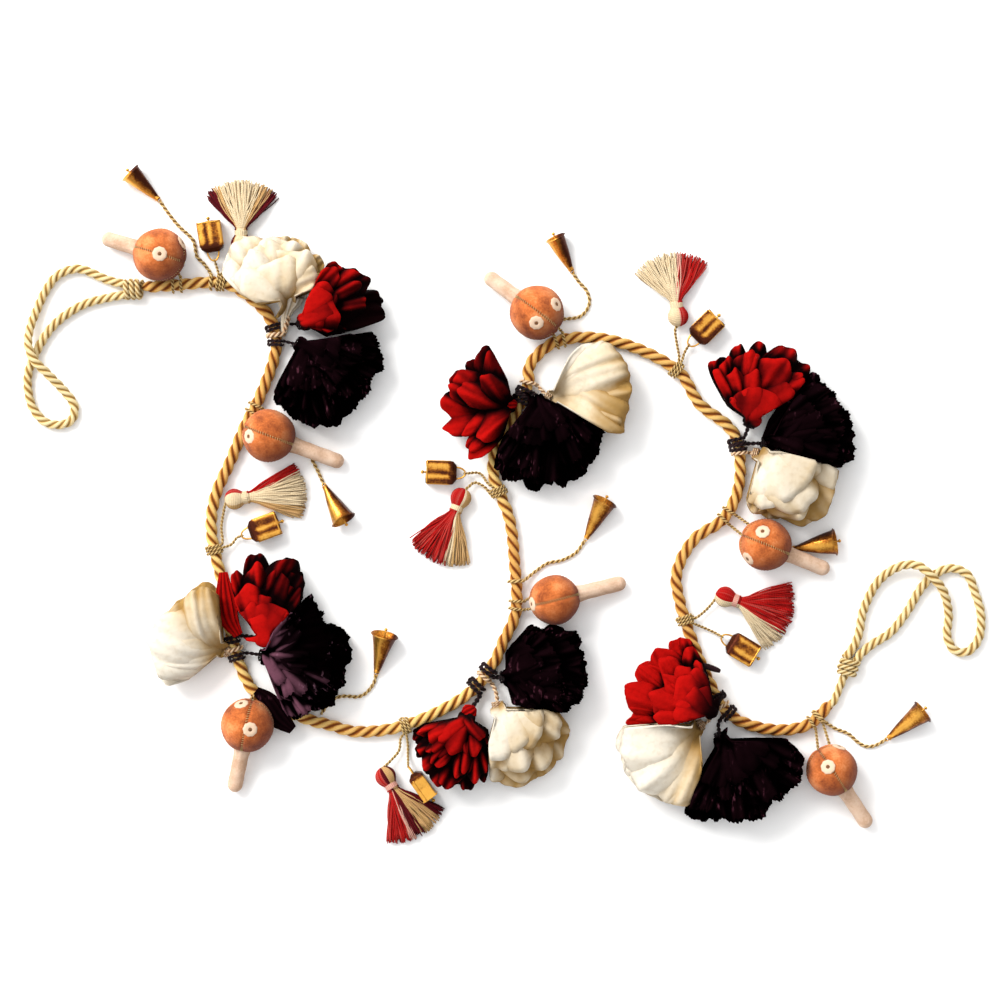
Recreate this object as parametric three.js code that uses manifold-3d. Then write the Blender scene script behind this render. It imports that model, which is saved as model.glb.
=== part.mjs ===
// A pom-pom garland laid flat: rope, end loops, pompoms, stuffed toadstools, brass bells, tassels.
// Millimetres, +Z up. The surface is at z = 0 and the origin is under the middle of the garland.
import * as THREE from "three";
import { mergeVertices } from "three/addons/utils/BufferGeometryUtils.js";
import Module from "manifold-3d";

const wasm = await Module();
wasm.setup();

// Driving sizes
const GAP = 0.3; // between pieces that touch
const LIFT = 0.2; // from the surface to a cord that lies on it
const ROPE_ROOM = 1.6; // kept free round the rope inside a pompom
const CORD_ROOM = 0.8; // kept free round a cord inside a pompom
const ROPE_RADIUS = 4.9;
const ROPE_GROOVE = 0.8; // groove radius as a share of the ridge radius
const ROPE_LAY = 31; // length of one full turn of the three strands
const LOOP_RADIUS = 3.8;
const LOOP_LAY = 22;
const STRANDS = 3;
const ROPE_STEPS = 6; // steps in one turn of the strands
const LOOP_STEPS = 5;
const WRAP_LENGTH = 11;
const WRAP_HALF_WIDTH = 9;
const WRAP_HALF_HEIGHT = 6;
const WRAP_TURNS = 3;
const WRAP_SIDES = 10;
const WRAP_GROOVE = 0.86; // a wrap's size between two turns, as a share
const CORD_RADIUS = 1.6;
const BELL_CORD_SIDES = 8;
const TIE_SIDES = 4;
const POMPOM_HEIGHT = 46;
const NECK_TOP = 12;
const NECK_BOTTOM = 4;
const STEM_RADIUS = 6;
const STEM_ROUNDING = 4; // length of a stem's rounded end
const STEM_LIFT = 0.4;
const CONE_TIP_RADIUS = 1.6;
const CONE_WALL = 0.9;
const CONE_FACETS = 12;
const CONE_CROWN = 5; // solid length at the tip
const SQUARE_WIDTH = 18.5;
const SQUARE_THICKNESS = 12;
const SQUARE_LENGTH = 20.5;
const SQUARE_CROWN = 4;
const SQUARE_CROWN_WIDTH = 0.62; // as shares of the bell's width and thickness
const SQUARE_CROWN_THICKNESS = 0.4;
const SQUARE_WALL = 1;
const BAIL_HALF_WIDTH = 4.6;
const BAIL_DEPTH = 7;
const BAIL_WIRE = 0.8;
const BAIL_SUNK = 0.6; // a bail's feet are soldered in this deep
const BAIL_STEPS = 6;
const CLAPPER_RADIUS = 1.2;
const CLAPPER_OUT = 3.5; // how far a clapper reaches out of the mouth
const TASSEL_HEAD_RADIUS = 7.8;
const TASSEL_ROOT_HALF_WIDTH = 4;

const GOLD_ROPE = finish(0xe0b060, 0.95, 0);
const PALE_ROPE = finish(0xe6cf95, 0.95, 0);
const CREAM = finish(0xece2cf, 0.9, 0);
const RED = finish(0xa80f0c, 0.85, 0);
const DARK = finish(0x1d1014, 0.85, 0);
const TERRACOTTA = finish(0xc9703f, 0.9, 0);
const PALE_CLOTH = finish(0xe3c3a8, 0.9, 0);
const BRASS = finish(0xb8771f, 0.4, 1);

const UP = new THREE.Vector3(0, 0, 1);
const facetShare = Math.cos(Math.PI / CONE_FACETS); // a flat side's distance from a cone's axis
const TIE_SLACK = 0.35; // a tie's steps cut across the bend over the rope by this much
const TOLERANCE = 0.08; // how far a face may move where faces are merged
const FULL_REACH = 66; // a pompom's petal of this length stands at the full height
const LOWEST_PETAL = 18; // a petal never stands lower than the gathered neck
const PLEAT = 0.88; // height of every other petal, as a share
const SIDE_HEIGHT = 0.55; // height of a pompom's outermost petals, as a share of the middle one's
const MIDDLE_REACH = 0.6; // how far out a pompom's middle is, as a share of its petals' reach
// A petal's section from the neck to the rim and back below: share of its reach, share of its height.
const POMPOM_PROFILE = [[0.32, 0.82], [0.76, 1], [1, 0.4], [0.88, 0], [0.3, 0]];
// A tassel's two layers of locks: how many, their height at the neck and beyond.
const LOCK_LAYERS = [{ count: 5, root: 2.4, lying: 1.3 }, { count: 4, root: 7, lying: 4.8 }];
// A tassel's head and neck: radius and place along the tassel, as shares of the head's radius.
const TASSEL_PROFILE = [[0, -1], [0.76, -0.65], [1, 0], [0.74, 0.68], [0.52, 0.9], [0.7, 1.7], [0, 1.75]];
const HEAD_REST = 0.9; // height of a tassel head's middle, as a share of its radius
const TASSEL_LOCK_ROOT = 11; // from the middle of the head
// Along a lock: share of its length, and half its width.
const LOCK_SECTIONS = [[0, 0.8], [1, 2.3]];
const SIDE_LOCKS_SHORTER = 0.05; // a tassel's outermost locks, as a share of their length
const LOCK_UNDERSIDE = 0.6; // how far a lock reaches below its middle line, as a share of half its width
const CLAPPER_REST = 3.4; // from a bell's outside to its clapper's middle line
const CAP_SEGMENTS = 12;
const CAP_PANELS = 4;
const CAP_REST = 0.88; // height of a cap's middle, as a share of its radius
const SEAM = 0.965; // radius at a seam, as a share of the ball's
const OVER_ROPE_ANGLES = [25, 60, 95, 130]; // round the rope, from the side that a tie comes from

// The rope's middle line, from its left end to its right end.
const ROPE_ROUTE = [
  [-291, 176], [-277, 176], [-261, 178], [-244, 180], [-230, 180], [-216, 176], [-200, 164],
  [-189, 153], [-184, 140], [-183, 129], [-187, 114], [-199, 82], [-207, 67], [-220, 36],
  [-227, 20], [-232, 8], [-235, -6], [-235, -19], [-233, -33], [-228, -56], [-225, -66],
  [-217, -111], [-213, -125], [-199, -150], [-181, -162], [-158, -170], [-139, -175],
  [-120, -180], [-103, -180], [-87, -177], [-68, -170], [-51, -163], [-38, -157], [-26, -147],
  [-16, -137], [-8, -124], [-1, -108], [6, -96], [9, -85], [9, -71], [8, -44], [4, -10],
  [-2, 8], [-9, 27], [-6, 50], [8, 74], [19, 99], [20, 113], [26, 121], [38, 131], [52, 136],
  [67, 136], [85, 133], [104, 128], [118, 122], [129, 116], [141, 107], [148, 95], [156, 83],
  [166, 74], [179, 65], [186, 54], [188, 32], [188, 18], [184, 4], [176, -9], [163, -19],
  [152, -26], [142, -39], [138, -53], [139, -65], [141, -78], [150, -106], [157, -123],
  [163, -138], [171, -154], [180, -166], [194, -174], [211, -178], [229, -178], [242, -175],
  [252, -166], [263, -156],
];

// The end loops' middle lines, x, y and height. Each starts and ends in its wrap.
const LEFT_LOOP_ROUTE = [
  [-301, 178.2, 5.4], [-306, 179, 4.7], [-318, 182, 4], [-342, 191, 4], [-358, 186, 4],
  [-367, 175, 4], [-375, 158, 5], [-380, 143, 8], [-381, 131, 12], [-377, 119, 13],
  [-365, 106, 10], [-353, 93, 5], [-345, 81, 4], [-347, 70, 4], [-356, 66, 4], [-368, 68, 4],
  [-378, 79, 4], [-382, 93, 4], [-382, 107, 4], [-377, 121, 4], [-372, 131, 4], [-364, 143, 4],
  [-352, 154, 4], [-336, 163, 4], [-321, 167, 4], [-309, 169.4, 4.7], [-301, 170.2, 5.4],
];
const RIGHT_LOOP_ROUTE = [
  [273.4, -122.8, 5.4], [275.6, -118, 4.7], [280, -112, 4], [284, -102, 4], [288, -82, 4],
  [301, -58, 5], [318, -47, 9], [331, -47, 12.5], [342, -56, 13], [351, -67, 10], [356, -86, 5],
  [355, -104, 4], [361, -115, 4], [371, -116, 4], [380, -106, 4], [382, -86, 4], [377, -68, 4],
  [371, -54, 4], [358, -49, 4], [345, -54, 4], [334, -65, 4], [322, -85, 4], [309, -101, 4],
  [295, -110, 4], [285, -118.6, 4.7], [280.8, -125.4, 5.4],
];
// The short single cord between the rope's right end and the right wrap.
const RIGHT_TAIL_ROUTE = [[264.3, -154.7, 5.1], [268, -146, 4.6], [271.5, -137.5, 5], [274, -131.5, 5.4]];

// Each wrap: its middle and the way its axis points, in degrees.
const WRAPS = {
  left: { x: -297, y: 174.5, turn: 0 },
  right: { x: 275.5, y: -127.5, turn: 70 },
};

// Each pompom: its neck, where its tie crosses the rope, and the radius of the tie.
const POMPOM_COLUMNS = ["colour", "x", "y", "ropeX", "ropeY", "tie"];
const POMPOMS = rows(POMPOM_COLUMNS, [
  ["cream", -172, 166, -184, 138, 2.4],
  ["red", -160, 147, -183, 144, 1.5],
  ["dark", -162, 129, -183.5, 131, 1.6],
  ["cream", -225, -114, -215.5, -114, 2.2],
  ["red", -191, -105, -217.5, -106, 1.8],
  ["dark", -191, -119, -214.5, -121, 1.6],
  ["cream", -5, -161, -16, -137, 2],
  ["red", -31, -168, -22, -143.5, 2.4],
  ["dark", 2, -136, -11.5, -131, 2.2],
  ["cream", 37, 87, 18.8, 99, 2],
  ["red", 6, 82, 13.5, 86, 2],
  ["dark", 25, 86, 16.5, 92.5, 2],
  ["cream", 204, 42, 187, 43, 2],
  ["red", 197, 69, 186.5, 53, 1.9],
  ["dark", 211, 51, 187, 48, 1.9],
  ["cream", 154, -176, 174.5, -159.5, 1.8],
  ["red", 165, -163, 170, -152, 1.9],
  ["dark", 173, -186, 179, -165, 1.9],
]);
// Each pompom's rim, seen from above: the way from its neck in degrees, and how far the rim is.
const RIMS = {
  cream_1: [
    [20, 24], [44, 43], [70, 46], [89, 54], [108, 54],
    [122, 59], [131, 66], [142, 66], [159, 57], [176, 38], [190, 26],
  ],
  red_1: [
    [-31, 20], [-8, 42], [4, 68], [20, 66], [32, 68],
    [45, 62], [52, 53], [62, 57], [68, 51], [78, 16],
  ],
  dark_1: [
    [-118, 52], [-94, 64], [-77, 69], [-64, 72], [-48, 69],
    [-36, 70], [-20, 68], [-7, 71], [2, 65], [11, 62],
  ],
  red_2: [[44, 44], [55, 58], [68, 70], [79, 71], [93, 70], [107, 69], [114, 62], [122, 49], [132, 30]],
  cream_2: [
    [94, 45], [101, 53], [106, 57], [123, 55], [141, 55], [158, 58],
    [173, 60], [186, 55], [205, 56], [213, 54], [222, 32],
  ],
  dark_2: [
    [-68, 65], [-57, 58], [-46, 65], [-36, 68], [-26, 68], [-14, 69],
    [-4, 67], [6, 72], [14, 71], [33, 65], [49, 58], [56, 65], [69, 25],
  ],
  red_3: [
    [-172, 33], [-165, 45], [-152, 48], [-132, 55], [-118, 61],
    [-110, 65], [-99, 57], [-86, 60], [-76, 57], [-70, 52], [-54, 30], [-28, 24],
  ],
  cream_3: [
    [-105, 27], [-95, 59], [-84, 63], [-74, 66], [-61, 65], [-49, 66],
    [-37, 65], [-26, 62], [-17, 64], [-5, 48], [0, 39],
  ],
  dark_3: [
    [-79, 21], [-55, 29], [-33, 55], [-23, 64], [-11, 66], [2, 67],
    [13, 69], [21, 66], [28, 68], [37, 70], [58, 49], [66, 49], [93, 20],
  ],
  red_4: [
    [-259, 18], [-248, 49], [-239, 59], [-230, 52], [-203, 57], [-184, 60],
    [-166, 53], [-160, 59], [-152, 56], [-144, 49], [-127, 57], [-119, 49], [-106, 29],
  ],
  dark_4: [
    [-132, 37], [-121, 65], [-110, 73], [-98, 71], [-91, 74], [-81, 71],
    [-72, 75], [-58, 73], [-47, 71], [-24, 66], [-16, 34], [-6, 26],
  ],
  cream_4: [
    [-32, 49], [-26, 65], [-12, 64], [-5, 64], [10, 68],
    [23, 66], [34, 65], [43, 65], [49, 59], [59, 48], [65, 36],
  ],
  red_5: [
    [28, 32], [40, 63], [47, 64], [60, 68], [70, 68], [79, 68],
    [86, 65], [96, 67], [104, 63], [120, 56], [127, 61], [134, 40], [149, 20],
  ],
  dark_5: [
    [-26, 47], [-19, 63], [-13, 67], [-5, 74], [4, 68], [12, 72],
    [22, 73], [31, 71], [40, 70], [54, 69], [60, 67], [66, 36],
  ],
  cream_5: [
    [-106, 40], [-97, 50], [-81, 52], [-68, 58],
    [-61, 67], [-48, 75], [-32, 68], [-19, 68], [-12, 67], [-3, 40], [8, 22],
  ],
  red_6: [
    [96, 29], [102, 45], [107, 59], [115, 67],
    [127, 69], [141, 72], [166, 75], [181, 66], [188, 71], [195, 58],
  ],
  cream_6: [
    [-188, 30], [-180, 59], [-175, 64], [-167, 68], [-159, 66], [-147, 71],
    [-133, 69], [-113, 67], [-101, 64], [-96, 62], [-90, 40], [-84, 27],
  ],
  dark_6: [
    [-120, 66], [-105, 70], [-98, 62], [-92, 70], [-86, 67], [-79, 70],
    [-70, 72], [-58, 73], [-51, 68], [-43, 72], [-27, 75], [-11, 68], [1, 53],
  ],
};
// Places that a pompom's tie passes between its neck and the rope.
const TIE_WAYS = {
  cream_1: [[-173, 151, 11], [-175.4, 142.5, 10.5]],
  red_1: [[-171, 146.6, 3], [-180.4, 146.4, 5]],
  cream_3: [[-7, -148, 9]],
  cream_4: [[30, 93, 9]],
  cream_6: [[163, -172, 4]],
  dark_6: [[171.5, -174, 5]],
};
// The large knots at two of the necks: x, y, z and radius.
const NECK_BEADS = { red_3: [-28.5, -164, 11.3, 7.4], red_4: [5.6, 82, 13.8, 4.8] };
const SIDE_TIES = ["red_1"]; // this tie ends at the rope's side

// Where two pieces press on each other: the two pieces and two points on the line between them.
const BORDER_COLUMNS = ["one", "other", "x1", "y1", "x2", "y2"];
const BORDERS = rows(BORDER_COLUMNS, [
  ["cream_1", "red_1", -141, 196, -158, 162],
  ["red_1", "dark_1", -101, 146, -143, 136],
  ["red_2", "dark_2", -156, -70, -188, -103],
  ["red_2", "cream_2", -221, -50, -219, -110],
  ["red_3", "cream_3", -13, -182, -13, -218],
  ["cream_3", "dark_3", -6, -154, 51, -165],
  ["red_4", "dark_4", 2, 62, -7, 44],
  ["red_3", "square_bell_3", -67.6, -208.9, -53.3, -228.8],
  ["red_3", "tassel_3", -74.4, -180, -74.4, -200],
  ["dark_4", "cream_4", 37, 84, 83, 58],
  ["red_5", "dark_5", 246, 108, 214, 63],
  ["dark_5", "cream_5", 208, 46, 271, 30],
  ["red_6", "cream_6", 86, -176, 166, -170],
  ["cream_6", "dark_6", 160, -202, 145, -241],
]);

// Each toadstool: its ball, the end of its stem, and the place on the rope that it is tied to.
const TOADSTOOL_COLUMNS = ["x", "y", "radius", "stemX", "stemY", "ropeX", "ropeY"];
const TOADSTOOLS = rows(TOADSTOOL_COLUMNS, [
  [-275, 201, 21.2, -322, 216, -262, 178],
  [-188, 57, 21.2, -129, 35, -201, 79],
  [-205, -174, 21.2, -217, -228, -197, -152],
  [40, -74, 20, 97, -60, 9, -78],
  [26, 155, 21.6, -15, 186, 45, 134],
  [208, -30, 20.8, 260, -51, 178, -7],
  [261, -210, 20.4, 292, -256, 248, -170],
]);

// Each cone bell: the middle of its mouth, a point on its axis, its length and its mouth's radius.
const CONE_COLUMNS = ["x", "y", "tipX", "tipY", "length", "mouth"];
const CONES = rows(CONE_COLUMNS, [
  [-299, 267, -277, 246, 30.4, 8.4],
  [-129, -10, -145, 18, 32, 9.5],
  [-96, -103, -103, -134, 32, 9.9],
  [80, 4, 65, -26, 33.6, 9.5],
  [41, 215, 54, 189, 29.4, 7.8],
  [263.6, -28, 232, -33.4, 34.6, 10],
  [334, -164, 307, -186, 35, 9.4],
]);

// The cords of the cone bells, from the bell's tip to where the cord is made fast.
const BELL_CORDS = {
  1: [
    [-267, 232], [-259.6, 223.6], [-253.3, 218], [-249.4, 213], [-248, 206.5], [-246.6, 200.5],
    [-241.5, 195.5], [-236, 188],
  ],
  2: [[-149, 27], [-152, 33], [-157, 42], [-163, 46.5], [-173.6, 51.6]],
  3: [
    [-104.5, -140.5], [-108, -146], [-112, -150], [-118, -152.4], [-124, -152], [-130.4, -152],
    [-137, -154], [-143, -160], [-147.5, -166.8],
  ],
  4: [[58, -36], [52, -40], [45, -43], [35, -45], [27, -50], [20, -58]],
  5: [[60, 180], [65, 172], [68, 164], [64, 156], [59, 148]],
  7: [[297, -191.5], [290, -192], [284, -189], [276, -182], [266, -178], [257, -173]],
};
const OVER_ROPE_CORDS = [1, 4, 5, 7]; // these go over the rope

// The cord of the bell behind a toadstool: most of it is under the ball.
const HIDDEN_CORD = { toadstool: 6, route: [[217, -31, 6], [222, -32, 4.5], [229.2, -33.9, 2.6]] };

// Each square bell: the middle of its mouth, the way it points, whether it lies on its edge.
const SQUARE_BELLS = rows(["x", "y", "turn", "onEdge"], [
  [-237.2, 228.4, 99, false],
  [-181, -12.4, 20, false],
  [-58.8, -232.8, -54.4, true],
  [-62.8, 28, 178, false],
  [170, 151.6, 44.6, false],
  [201, -120, -31, false],
]);

// Each tassel: its head, the way its threads fan out, half the fan, their length beyond the neck,
// and where it is tied over the rope.
const TASSEL_COLUMNS = ["x", "y", "turn", "spread", "length", "ropeX", "ropeY"];
const TASSELS = rows(TASSEL_COLUMNS, [
  [-211, 211, 90, 40, 40, -227, 179],
  [-216, 6.4, 8, 24, 46, -232.5, -35],
  [-95, -216, -59, 31, 44, -80, -174],
  [-35, 7, -112, 30, 44, -4, 13],
  [139, 153, 98, 40, 40, 137, 110],
  [177, -72, -20, 34, 45, 144.5, -90],
]);
// Places that the tie of each tassel passes, and that of the square bell beside it.
const TASSEL_WAYS = [
  { head: [[-217, 199, 5], [-223, 189, 7]], bell: [[-230.5, 192, 6]] },
  { head: [[-225, -3, 4], [-227, -16, 4], [-226, -29, 6]], bell: [[-214.5, -24.6, 4], [-219, -30, 4]] },
  { head: [[-91, -203, 6], [-84.5, -195, 4], [-83, -185, 6]], bell: [[-77.5, -199, 3], [-77.5, -190, 3]] },
  { head: [[-29, 16, 6], [-24, 19.5, 4], [-16, 16, 4]], bell: [[-20, 27, 3], [-13.5, 19, 10]] },
  { head: [[137, 143, 6], [138, 132, 4], [140, 120, 5]], bell: [[144.5, 124, 4], [142, 117, 6]] },
  { head: [[168, -75, 6], [160, -84, 4], [152, -89, 6]], bell: [[167, -100, 3], [158, -96, 4]] },
];

// A material with a colour, a roughness and a metalness.
function finish(color, roughness, metalness) {
  return new THREE.MeshStandardMaterial({ color, roughness, metalness });
}

// A table's rows as objects with the named columns.
function rows(columns, table) {
  return table.map((row) => Object.fromEntries(columns.map((column, i) => [column, row[i]])));
}

// A closed geometry as a solid that can be joined and cut.
function solid(geometry) {
  const bare = geometry.clone();
  bare.deleteAttribute("normal");
  bare.deleteAttribute("uv");
  const merged = mergeVertices(bare, 1e-4);
  const made = new wasm.Manifold(
    new wasm.Mesh({
      numProp: 3,
      vertProperties: new Float32Array(merged.attributes.position.array),
      triVerts: new Uint32Array(merged.index.array),
    }),
  );
  if (made.volume() < 0) throw new Error("a solid is inside out");
  return made;
}

// A solid's largest body, as a geometry.
function geometryOf(body) {
  const largest = body.decompose().reduce((a, b) => (a.volume() > b.volume() ? a : b));
  const mesh = largest.getMesh();
  const geometry = new THREE.BufferGeometry();
  geometry.setAttribute("position", new THREE.BufferAttribute(new Float32Array(mesh.vertProperties), 3));
  geometry.setIndex(new THREE.BufferAttribute(new Uint32Array(mesh.triVerts), 1));
  geometry.computeVertexNormals();
  return geometry;
}

// Points of a list as vectors.
function vectors(list) {
  return list.map((point) => new THREE.Vector3(...point));
}

// Bodies that overlap, as one.
function joined(...bodies) {
  return bodies.reduce((a, b) => a.add(b));
}

// A closed body through rings of points, with flat ends.
function loft(rings) {
  const count = rings[0].length;
  const positions = rings.flat().flatMap((p) => [p.x, p.y, p.z]);
  const index = [];
  for (let i = 0; i + 1 < rings.length; i++) {
    for (let k = 0; k < count; k++) {
      const a = i * count + k;
      const b = i * count + ((k + 1) % count);
      index.push(a, b, b + count, a, b + count, a + count);
    }
  }
  const last = (rings.length - 1) * count;
  for (let k = 1; k + 1 < count; k++) {
    index.push(0, k + 1, k, last, last + k, last + k + 1);
  }
  const geometry = new THREE.BufferGeometry();
  geometry.setAttribute("position", new THREE.Float32BufferAttribute(positions, 3));
  geometry.setIndex(index);
  return geometry;
}

// A smooth curve through a route's points. A point without a height gets the given one.
function routeCurve(route, height) {
  const points = route.map(([x, y, z = height]) => new THREE.Vector3(x, y, z));
  const curve = new THREE.CatmullRomCurve3(points, false, "centripetal");
  curve.arcLengthDivisions = 1000;
  return curve;
}

// The point of a ring round a curve, at an angle from its right side towards its top.
function around(point, tangent, angle, radius) {
  const side = new THREE.Vector3().crossVectors(tangent, UP).normalize();
  const top = new THREE.Vector3().crossVectors(side, tangent);
  return point
    .clone()
    .addScaledVector(side, radius * Math.cos(angle))
    .addScaledVector(top, radius * Math.sin(angle));
}

// A laid rope: ridges of twisted strands that turn round the curve.
function laidRope(curve, radius, lay, stepsPerTurn) {
  const length = curve.getLength();
  const steps = Math.ceil((length / lay) * stepsPerTurn);
  const rings = [];
  for (let i = 0; i <= steps; i++) {
    const at = i / steps;
    const point = curve.getPointAt(at);
    const tangent = curve.getTangentAt(at);
    const turn = (2 * Math.PI * i) / stepsPerTurn;
    const ring = [];
    for (let k = 0; k < 2 * STRANDS; k++) {
      const reach = k % 2 ? ROPE_GROOVE * radius : radius;
      ring.push(around(point, tangent, turn + (Math.PI * k) / STRANDS, reach));
    }
    rings.push(ring);
  }
  return loft(rings.map((ring) => ring.reverse()));
}

// A plain cord straight from point to point.
function cord(points, radius, sides) {
  const rings = points.map((point, i) => {
    const before = points[Math.max(0, i - 1)];
    const after = points[Math.min(points.length - 1, i + 1)];
    const tangent = after.clone().sub(before).normalize();
    return Array.from({ length: sides }, (_, k) =>
      around(point, tangent, (-2 * Math.PI * (k + 0.5)) / sides, radius),
    );
  });
  return solid(loft(rings));
}

const ropeCurve = routeCurve(ROPE_ROUTE, ROPE_RADIUS + LIFT);
const ropeSamples = ropeCurve.getSpacedPoints(900);

// The rope's middle point and direction nearest to a place.
function onRope(x, y) {
  let best = 0;
  ropeSamples.forEach((p, i) => {
    const here = Math.hypot(p.x - x, p.y - y);
    const there = Math.hypot(ropeSamples[best].x - x, ropeSamples[best].y - y);
    if (here < there) best = i;
  });
  const at = best / (ropeSamples.length - 1);
  return { point: ropeCurve.getPointAt(at), tangent: ropeCurve.getTangentAt(at) };
}

// Points of a tie that comes from a place, passes over the rope and ends beyond it.
function overRope(x, y, radius, from) {
  const { point, tangent } = onRope(x, y);
  const side = new THREE.Vector3().crossVectors(tangent, UP).normalize();
  const sameSide = side.dot(from.clone().sub(point)) > 0;
  const reach = ROPE_RADIUS + GAP + 0.8 * radius + TIE_SLACK;
  return OVER_ROPE_ANGLES.map((degrees) => {
    const angle = THREE.MathUtils.degToRad(sameSide ? degrees : 180 - degrees);
    const place = around(point, tangent, angle, reach);
    place.z = Math.max(place.z, radius + LIFT);
    return place;
  });
}

// A tie cord from some points to the rope and over it.
function tie(points, ropeX, ropeY, radius) {
  const over = overRope(ropeX, ropeY, radius, points[points.length - 1]);
  return cord([...points, ...over], radius, TIE_SIDES);
}

// A tube round part of the rope that other pieces are cut by.
const ropeClearance = cord(ropeCurve.getSpacedPoints(105), ROPE_RADIUS + ROPE_ROOM, 6);

// A pompom: pleated slices fan out from the gathered neck to the rim, flat where they lie.
function pompomBody(row, rim) {
  const points = [new THREE.Vector3(row.x, row.y, NECK_TOP), new THREE.Vector3(row.x, row.y, NECK_BOTTOM)];
  const [first, last] = [rim[0][0], rim[rim.length - 1][0]];
  rim.forEach(([degrees, reach], j) => {
    const angle = THREE.MathUtils.degToRad(degrees);
    const share = (2 * (degrees - first)) / (last - first) - 1;
    const dome = SIDE_HEIGHT + (1 - SIDE_HEIGHT) * Math.cos((Math.PI / 2) * share);
    const full = Math.min(1, reach / FULL_REACH) * dome;
    const high = Math.max(LOWEST_PETAL, POMPOM_HEIGHT * full * (j % 2 ? 1 : PLEAT));
    for (const [out, up] of POMPOM_PROFILE) {
      const distance = out * reach;
      points.push(
        new THREE.Vector3(row.x + distance * Math.cos(angle), row.y + distance * Math.sin(angle), up * high),
      );
    }
  });
  const index = [];
  const count = POMPOM_PROFILE.length;
  const at = (j, k) => 2 + j * count + k;
  for (let j = 0; j + 1 < rim.length; j++) {
    index.push(0, at(j, 0), at(j + 1, 0));
    for (let k = 0; k + 1 < count; k++) {
      index.push(at(j, k), at(j, k + 1), at(j + 1, k + 1), at(j, k), at(j + 1, k + 1), at(j + 1, k));
    }
    index.push(at(j, count - 1), 1, at(j + 1, count - 1));
  }
  for (const [j, turned] of [[0, true], [rim.length - 1, false]]) {
    const side = [0, ...POMPOM_PROFILE.map((_, k) => at(j, k)), 1];
    for (let k = 1; k + 1 < side.length; k++) {
      if (turned) index.push(side[0], side[k + 1], side[k]);
      else index.push(side[0], side[k], side[k + 1]);
    }
  }
  const geometry = new THREE.BufferGeometry();
  const numbers = points.flatMap((p) => [p.x, p.y, p.z]);
  geometry.setAttribute("position", new THREE.Float32BufferAttribute(numbers, 3));
  geometry.setIndex(index);
  return solid(geometry);
}

// A pompom's middle, on the surface.
function middleOf(row, rim) {
  const tips = rim.map(([degrees, reach]) => {
    const angle = THREE.MathUtils.degToRad(degrees);
    return [reach * Math.cos(angle), reach * Math.sin(angle)];
  });
  const mean = (axis) => tips.reduce((sum, tip) => sum + tip[axis], 0) / tips.length;
  return [row.x + MIDDLE_REACH * mean(0), row.y + MIDDLE_REACH * mean(1)];
}

// What is left of a body on its own side of the upright plane through two points.
function pressed(body, [middleX, middleY], x1, y1, x2, y2, clear) {
  const along = Math.hypot(x2 - x1, y2 - y1);
  const normal = [-(y2 - y1) / along, (x2 - x1) / along];
  const own = normal[0] * (middleX - x1) + normal[1] * (middleY - y1) > 0 ? 1 : -1;
  const [nx, ny] = [own * normal[0], own * normal[1]];
  return body.trimByPlane([nx, ny, 0], nx * x1 + ny * y1 + clear);
}

const garland = new THREE.Group();

// Adds a body as a named mesh, cut level where it would reach below the surface.
function addPiece(name, body, material) {
  const lying = body.trimByPlane([0, 0, 1], 0).simplify(TOLERANCE);
  const mesh = new THREE.Mesh(geometryOf(lying), material);
  mesh.name = name;
  garland.add(mesh);
}

// A geometry moved and turned into its place, as a solid.
function place(geometry, position, quaternion) {
  const matrix = new THREE.Matrix4().compose(position, quaternion, new THREE.Vector3(1, 1, 1));
  return solid(geometry.clone().applyMatrix4(matrix));
}

// A wrap of an end loop: turns of its own cord round both of its legs.
function wrap({ x, y, turn }) {
  const angle = THREE.MathUtils.degToRad(turn);
  const along = new THREE.Vector3(Math.cos(angle), Math.sin(angle), 0);
  const middle = new THREE.Vector3(x, y, WRAP_HALF_HEIGHT);
  const rings = [];
  for (let i = 0; i <= 2 * WRAP_TURNS; i++) {
    const at = middle.clone().addScaledVector(along, WRAP_LENGTH * (i / (2 * WRAP_TURNS) - 0.5));
    const swell = i % 2 ? 1 : WRAP_GROOVE;
    const ring = [];
    for (let k = 0; k < WRAP_SIDES; k++) {
      const a = (2 * Math.PI * (k + 0.5)) / WRAP_SIDES;
      const side = new THREE.Vector3(-along.y, along.x, 0);
      const p = at.clone().addScaledVector(side, WRAP_HALF_WIDTH * swell * Math.cos(a));
      p.z += WRAP_HALF_HEIGHT * swell * Math.sin(a);
      ring.push(p);
    }
    rings.push(ring);
  }
  return solid(loft(rings));
}

const loopCurve = { left: routeCurve(LEFT_LOOP_ROUTE), right: routeCurve(RIGHT_LOOP_ROUTE) };
const loopCord = (curve) => solid(laidRope(curve, LOOP_RADIUS, LOOP_LAY, LOOP_STEPS));
const leftLoop = joined(loopCord(loopCurve.left), wrap(WRAPS.left));
const rightTail = loopCord(routeCurve(RIGHT_TAIL_ROUTE));
const rightLoop = joined(loopCord(loopCurve.right), wrap(WRAPS.right), rightTail);
addPiece("rope", solid(laidRope(ropeCurve, ROPE_RADIUS, ROPE_LAY, ROPE_STEPS)), GOLD_ROPE);
addPiece("loop_left", leftLoop, PALE_ROPE);
addPiece("loop_right", rightLoop, PALE_ROPE);

// How a square bell is turned: round the upright axis, and onto its edge where it lies so.
function squareTurn(row) {
  const flat = new THREE.Quaternion().setFromAxisAngle(UP, THREE.MathUtils.degToRad(row.turn - 90));
  const lean = new THREE.Quaternion();
  if (row.onEdge) lean.setFromAxisAngle(new THREE.Vector3(0, 1, 0), Math.PI / 2);
  return flat.multiply(lean);
}

// The height of a square bell's axis, and of its bail.
function squareHeight(row) {
  return row.onEdge ? SQUARE_WIDTH / 2 : SQUARE_THICKNESS / 2;
}

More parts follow.
